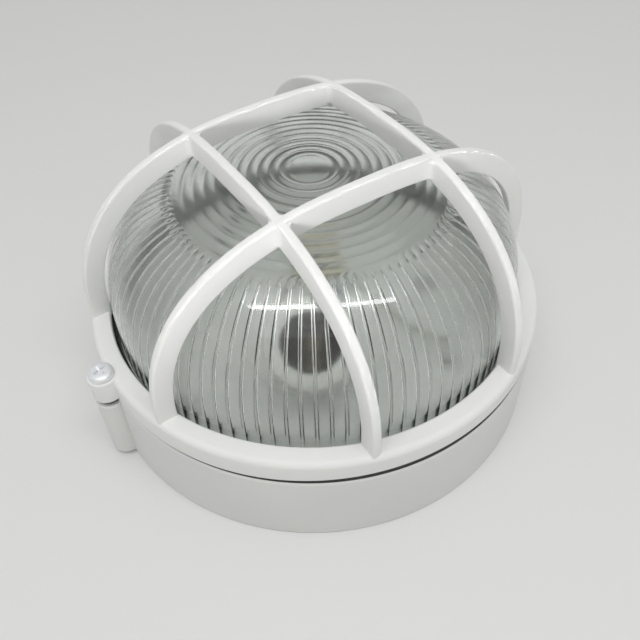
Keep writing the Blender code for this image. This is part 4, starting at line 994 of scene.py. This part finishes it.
def cross_recess():
    """Cross-shaped cutter that narrows towards its bottom."""
    loops = []
    for share in RECESS_LEVELS:
        height = HEAD_HEIGHT - RECESS_DEPTH * (1 - share)
        reach = RECESS_SPAN / 2 * (RECESS_BOTTOM_SPAN + (1 - RECESS_BOTTOM_SPAN) * share)
        half = RECESS_WIDTH / 2 * (RECESS_BOTTOM_WIDTH + (1 - RECESS_BOTTOM_WIDTH) * share)
        corner = half * RECESS_CORNER
        arm = [(reach, -half), (reach, half), (corner, half), (corner, corner), (half, corner)]
        outline = []
        for turn in range(4):
            cos, sin = math.cos(turn * math.pi / 2), math.sin(turn * math.pi / 2)
            outline += [(x * cos - y * sin, x * sin + y * cos) for x, y in arm]
        loops.append([(x, y, height) for x, y in outline])
    return prism(loops)


def cross_screw(name, side, steel):
    """Pan head screw with a low rim, a domed top and a cross recess."""
    crown = []
    for step in range(HEAD_STEPS + 1):
        angle = math.pi / 2 * step / HEAD_STEPS
        crown.append((
            HEAD_RADIUS * (HEAD_FLAT + (1 - HEAD_FLAT) * math.cos(angle)),
            HEAD_RIM + (HEAD_HEIGHT - HEAD_RIM) * math.sin(angle),
        ))
    tip = SCREW_RADIUS * SCREW_TIP
    profile = [(0, -SCREW_REACH), (tip, -SCREW_REACH), (SCREW_RADIUS, -SCREW_REACH + tip)]
    profile += [(SCREW_RADIUS, 0), (HEAD_RADIUS - TOUCH / 2, 0), (HEAD_RADIUS, TOUCH / 2)]
    profile += crown + [(0, HEAD_HEIGHT)]
    seat = Matrix.Translation((side * LUG_CENTRE, 0, SCREW_HIGH.z - HEAD_HEIGHT))
    turn = Matrix.Rotation(SCREW_TURNS[name], 4, "Z")
    piece = raw_piece("cross_screw_" + name, placed(turned(profile), seat))
    combined(piece, [placed(cross_recess(), seat @ turn)], "DIFFERENCE")
    return finished(piece, steel, ["guard_screw_" + name])


def retainer_ring(name, side, material):
    # Black rubber ring that keeps the screw captive; its black also stands for the shade in the gap between
    # the lugs
    ring = tube(SCREW_HOLE, RETAINER_RADIUS, LUG_LOWER_TOP + TOUCH, SKIRT_BOTTOM - TOUCH, TOUCH)
    piece = raw_piece("retainer_ring_" + name, placed(ring, Matrix.Translation((side * LUG_CENTRE, 0, 0))))
    return finished(piece, material, ["screw_retainer_" + name])


# Lampholder

def porcelain_holder(glazed, socket_shade):
    bore = SHELL_CREST_RADIUS + SHELL_THREAD + SHELL_SHEET + SHELL_SLIDE
    lip = SHELL_CREST_RADIUS + SHELL_THREAD + SHELL_SHEET / 2
    profile = rounded([
        (0, 0, 0),
        (HOLDER_NECK_RADIUS, 0, BODY_EDGE),
        (HOLDER_NECK_RADIUS, HOLDER_NECK, CAST_FILLET),
        (HOLDER_RADIUS, HOLDER_NECK + HOLDER_SHOULDER, CAST_FILLET * 2),
        (HOLDER_RADIUS, HOLDER_LENGTH, HOLDER_EDGE),
        (lip, HOLDER_LENGTH, HOLDER_LIP / 2),
        (lip, HOLDER_LENGTH - HOLDER_LIP, 0),
        (bore, HOLDER_LENGTH - HOLDER_LIP, 0),
        (bore, SOCKET_FLOOR, CAST_FILLET / 2),
        (0, SOCKET_FLOOR, 0),
    ])
    piece = raw_piece("porcelain_holder", placed(turned(profile, HOLDER_TURNS), SOCKET_FRAME))
    holes = [
        placed(rod(SMALL_HOLE, -SMALL_HOLE_DEPTH, SMALL_HOLE_DEPTH),
               SOCKET_FRAME @ Matrix.Translation((0, side * HOLDER_SCREW_SPREAD, 0)))
        for side in (-1, 1)
    ]
    combined(piece, holes, "DIFFERENCE")
    finished(piece, glazed, ["lampholder_body"])
    piece.data.materials.append(socket_shade)
    # Faces inside the socket's bore take the near-black material, painted shade for the socket's depth
    to_socket = SOCKET_FRAME.inverted()
    for face in piece.data.polygons:
        centre = to_socket @ face.center
        in_bore = math.hypot(centre.x, centre.y) < bore + TOUCH
        if in_bore and SOCKET_FLOOR - TOUCH < centre.z < HOLDER_LENGTH - HOLDER_LIP - TOUCH:
            face.material_index = 1
    return piece


def threaded_shell(material):
    """Rolled sheet shell with a round helical thread."""
    low = SOCKET_FLOOR + TOUCH
    high = HOLDER_LENGTH - HOLDER_LIP - TOUCH

    def loop(height, outward):
        points = []
        for step in range(HOLDER_TURNS):
            angle = math.tau * step / HOLDER_TURNS
            wave = 0.5 + 0.5 * math.cos(math.tau * height / THREAD_PITCH - angle)
            fade = min(1.0, (height - low) / THREAD_PITCH, (high - height) / THREAD_PITCH)
            radius = SHELL_CREST_RADIUS + SHELL_THREAD * (1 - wave * fade) + outward
            points.append((radius * math.cos(angle), radius * math.sin(angle), height))
        return points

    heights = [low + (high - low) * row / SHELL_ROWS for row in range(SHELL_ROWS + 1)]
    loops = [loop(height, 0) for height in heights]
    loops += [loop(height, SHELL_SHEET) for height in reversed(heights)]
    piece = raw_piece("threaded_shell", placed(stacked(loops, closed=True), SOCKET_FRAME))
    return finished(piece, material, ["lamp_shell"])


# Cable entry and wall fixings

def gland_nut(material):
    """Hexagonal compression nut with chamfered corners on a round spigot."""
    face = wall_radius(ENTRY_HEIGHT) + ENTRY_BOSS_PROUD + TOUCH
    corner = NUT_FLATS_RADIUS / math.cos(math.pi / 6)
    hexagon = [(corner * math.cos(math.pi / 3 * i), corner * math.sin(math.pi / 3 * i)) for i in range(6)]
    head = prism([[(x, y, z) for x, y in hexagon] for z in (face, face + NUT_THICKNESS)])
    piece = raw_piece("gland_nut", placed(head, ENTRY_FRAME))
    barrel = turned(rounded([
        (0, face - FLOOR, 0),
        (corner, face - FLOOR, 0),
        (corner, face + NUT_THICKNESS, NUT_ROUND),
        (0, face + NUT_THICKNESS, 0),
    ]))
    combined(piece, [placed(barrel, ENTRY_FRAME)], "INTERSECT")
    spigot = rod(ENTRY_BORE - TOUCH, NUT_LOW.y, face + NUT_THICKNESS / 2)
    combined(piece, [placed(spigot, ENTRY_FRAME)], "UNION")
    bore = turned(rounded([
        (0, NUT_LOW.y - FLOOR, 0),
        (NUT_BORE, NUT_LOW.y - FLOOR, 0),
        (NUT_BORE, face + NUT_THICKNESS - NUT_ROUND / 2, 0),
        (NUT_BORE + NUT_ROUND, face + NUT_THICKNESS + NUT_ROUND / 2, 0),
        (0, face + NUT_THICKNESS + NUT_ROUND / 2, 0),
    ]))
    combined(piece, [placed(bore, ENTRY_FRAME)], "DIFFERENCE")
    return finished(piece, material, ["entry_nut"])


def entry_rings(rubber_material, steel):
    seal = tube(SEAL_BORE, ENTRY_BORE - TOUCH, SEAL_LOW.y, SEAL_HIGH.y, TOUCH)
    seal_piece = raw_piece("entry_seal_ring", placed(seal, ENTRY_FRAME))
    finished(seal_piece, rubber_material, ["entry_seal"])
    low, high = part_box("entry_washer")
    washer = tube(NUT_BORE, ENTRY_BORE - TOUCH, low.y, high.y, TOUCH / 2)
    washer_piece = raw_piece("entry_thrust_washer", placed(washer, ENTRY_FRAME))
    finished(washer_piece, steel, ["entry_washer"])


def fixing_grommet(name, side, material):
    profile = rounded([
        (GROMMET_BORE, TOUCH, 0),
        (FIXING_HOLE - TOUCH, TOUCH, 0),
        (FIXING_HOLE - TOUCH, FLOOR + TOUCH, 0),
        (GROMMET_FLANGE, FLOOR + TOUCH, TOUCH),
        (GROMMET_FLANGE - GROMMET_THICKNESS / 4, FLOOR + TOUCH + GROMMET_THICKNESS, TOUCH * 2),
        (GROMMET_BORE, FLOOR + TOUCH + GROMMET_THICKNESS, TOUCH * 2),
    ])
    place = Matrix.Translation((side * FIXING_DISTANCE, 0, 0))
    piece = raw_piece("grommet_" + name, placed(turned(profile), place))
    return finished(piece, material, ["fixing_grommet_" + name])


# Stage

def pale_floor():
    """Pale floor with a slow drift of shade."""
    low = (-FLOOR_REACH, -FLOOR_REACH, -FLOOR_SLAB)
    floor = raw_piece("floor", box(low, (FLOOR_REACH, FLOOR_REACH, -FLOOR_DROP)))
    material, tree, shader, place = new_material("pale_floor", FLOOR_COLOUR, FLOOR_ROUGHNESS)
    shade = [channel * FLOOR_SHADE for channel in FLOOR_COLOUR]
    tint(tree, shader, wander(tree, place, FLOOR_DRIFT), shade, FLOOR_COLOUR)
    floor.data.materials.append(material)


def surroundings():
    """Pale surroundings, brighter overhead, and of one strength where they are seen or mirrored."""
    world = bpy.data.worlds.new("surroundings")
    bpy.context.scene.world = world
    world.use_nodes = True
    tree = world.node_tree
    background = tree.nodes["Background"]
    background.inputs["Color"].default_value = (*WORLD_COLOUR, 1)
    parts = tree.nodes.new("ShaderNodeSeparateXYZ")
    tree.links.new(tree.nodes.new("ShaderNodeTexCoord").outputs["Generated"], parts.inputs["Vector"])
    climb = mapped(tree, parts.outputs["Z"], (0.0, 1.0), WORLD_RANGE)
    path = tree.nodes.new("ShaderNodeLightPath")
    seen = path.outputs["Is Camera Ray"]
    for kind in ("Is Glossy Ray", "Is Transmission Ray"):
        seen = joined(tree, "MAXIMUM", seen, path.outputs[kind])
    strength = tree.nodes.new("ShaderNodeMix")
    strength.inputs["B"].default_value = BACKDROP
    tree.links.new(seen, strength.inputs["Factor"])
    tree.links.new(climb, strength.inputs["A"])
    tree.links.new(strength.outputs["Result"], background.inputs["Strength"])


def studio_lamps():
    """A long lamp that draws the bright line on the glass, a wide soft one, and a weak one for the bars."""
    view = Matrix.Rotation(CAMERA_HEADING, 3, "Z")
    for name, values in LAMPS.items():
        data = bpy.data.lights.new(name, "AREA")
        data.shape = "RECTANGLE"
        data.size, data.size_y = values["size"]
        data.energy = values["power"]
        data.spread = values["beam"]
        lamp = bpy.data.objects.new(name, data)
        lamp.visible_glossy = lamp.visible_transmission = values["shown"]
        bpy.context.scene.collection.objects.link(lamp)
        height, heading = values["height"], values["heading"]
        direction = view @ Vector((
            math.cos(height) * math.cos(heading), math.cos(height) * math.sin(heading), math.sin(height),
        ))
        lamp.location = direction * values["distance"] + Vector((0, 0, values["aim"]))
        up = direction.cross(view @ Vector((1, 0, 0))).normalized()
        across = up.cross(direction).normalized()
        lamp.rotation_mode = "QUATERNION"
        lamp.rotation_quaternion = Matrix((across, up, direction)).transposed().to_quaternion()


def photo_camera():
    data = bpy.data.cameras.new("photo_camera")
    data.lens = CAMERA_LENS
    data.sensor_width = CAMERA_SENSOR
    camera = bpy.data.objects.new("photo_camera", data)
    bpy.context.scene.collection.objects.link(camera)
    turn = Matrix.Rotation(CAMERA_HEADING, 3, "Z")
    forward = Vector((
        math.sin(CAMERA_PAN) * math.cos(CAMERA_PITCH),
        math.cos(CAMERA_PAN) * math.cos(CAMERA_PITCH),
        -math.sin(CAMERA_PITCH),
    ))
    level_right = Vector((math.cos(CAMERA_PAN), -math.sin(CAMERA_PAN), 0))
    level_up = level_right.cross(forward)
    right = level_right * math.cos(CAMERA_ROLL) + level_up * math.sin(CAMERA_ROLL)
    up = level_up * math.cos(CAMERA_ROLL) - level_right * math.sin(CAMERA_ROLL)
    axes = Matrix((turn @ right, turn @ up, turn @ -forward)).transposed()
    camera.matrix_world = (
        Matrix.Translation(turn @ Vector((0, -CAMERA_DISTANCE, CAMERA_HEIGHT))) @ axes.to_4x4()
    )
    bpy.context.scene.camera = camera


def dress_cad_node(name, material):
    """Give a CAD node that is shown as it is a finished material."""
    mesh = frame["nodes"][name].data
    mesh.materials.clear()
    mesh.materials.append(material)


def main():
    photo_camera()
    bpy.context.scene.view_settings.view_transform = "Standard"
    pale_floor()
    surroundings()
    studio_lamps()
    black = rubber("black_rubber")
    grey = rubber("grey_rubber")
    steel = finish("zinc_plated_steel")
    pale = finish("pale_zinc")
    body_casting(powder_coat("white_powder_coat_body_painted_shade"))
    guard_casting(powder_coat("white_powder_coat_guard"))
    ribbed_glass(pressed_glass("clear_pressed_glass"), pressed_glass("mould_side_glass"))
    rubber_gasket(gasket_rubber())
    for name, side in (("left", -1), ("right", 1)):
        cross_screw(name, side, pale)
        retainer_ring(name, side, black)
        fixing_grommet(name, side, grey)
    porcelain_holder(finish("glazed_porcelain"), finish("socket_painted_shade"))
    threaded_shell(finish("dull_brass_painted_shade"))
    gland_nut(moulded("white_plastic"))
    entry_rings(black, steel)
    by_slot = {"zinc_steel": steel, "brass": finish("brass")}
    for name in ("ivory_nylon", "brown_insulation", "blue_insulation", "green_insulation"):
        by_slot[name] = moulded(name)
    for part in frame["record"]["subparts"]:
        if part["material_slot"] in by_slot and not frame["nodes"][part["node"]].hide_render:
            dress_cad_node(part["node"], by_slot[part["material_slot"]])


main()
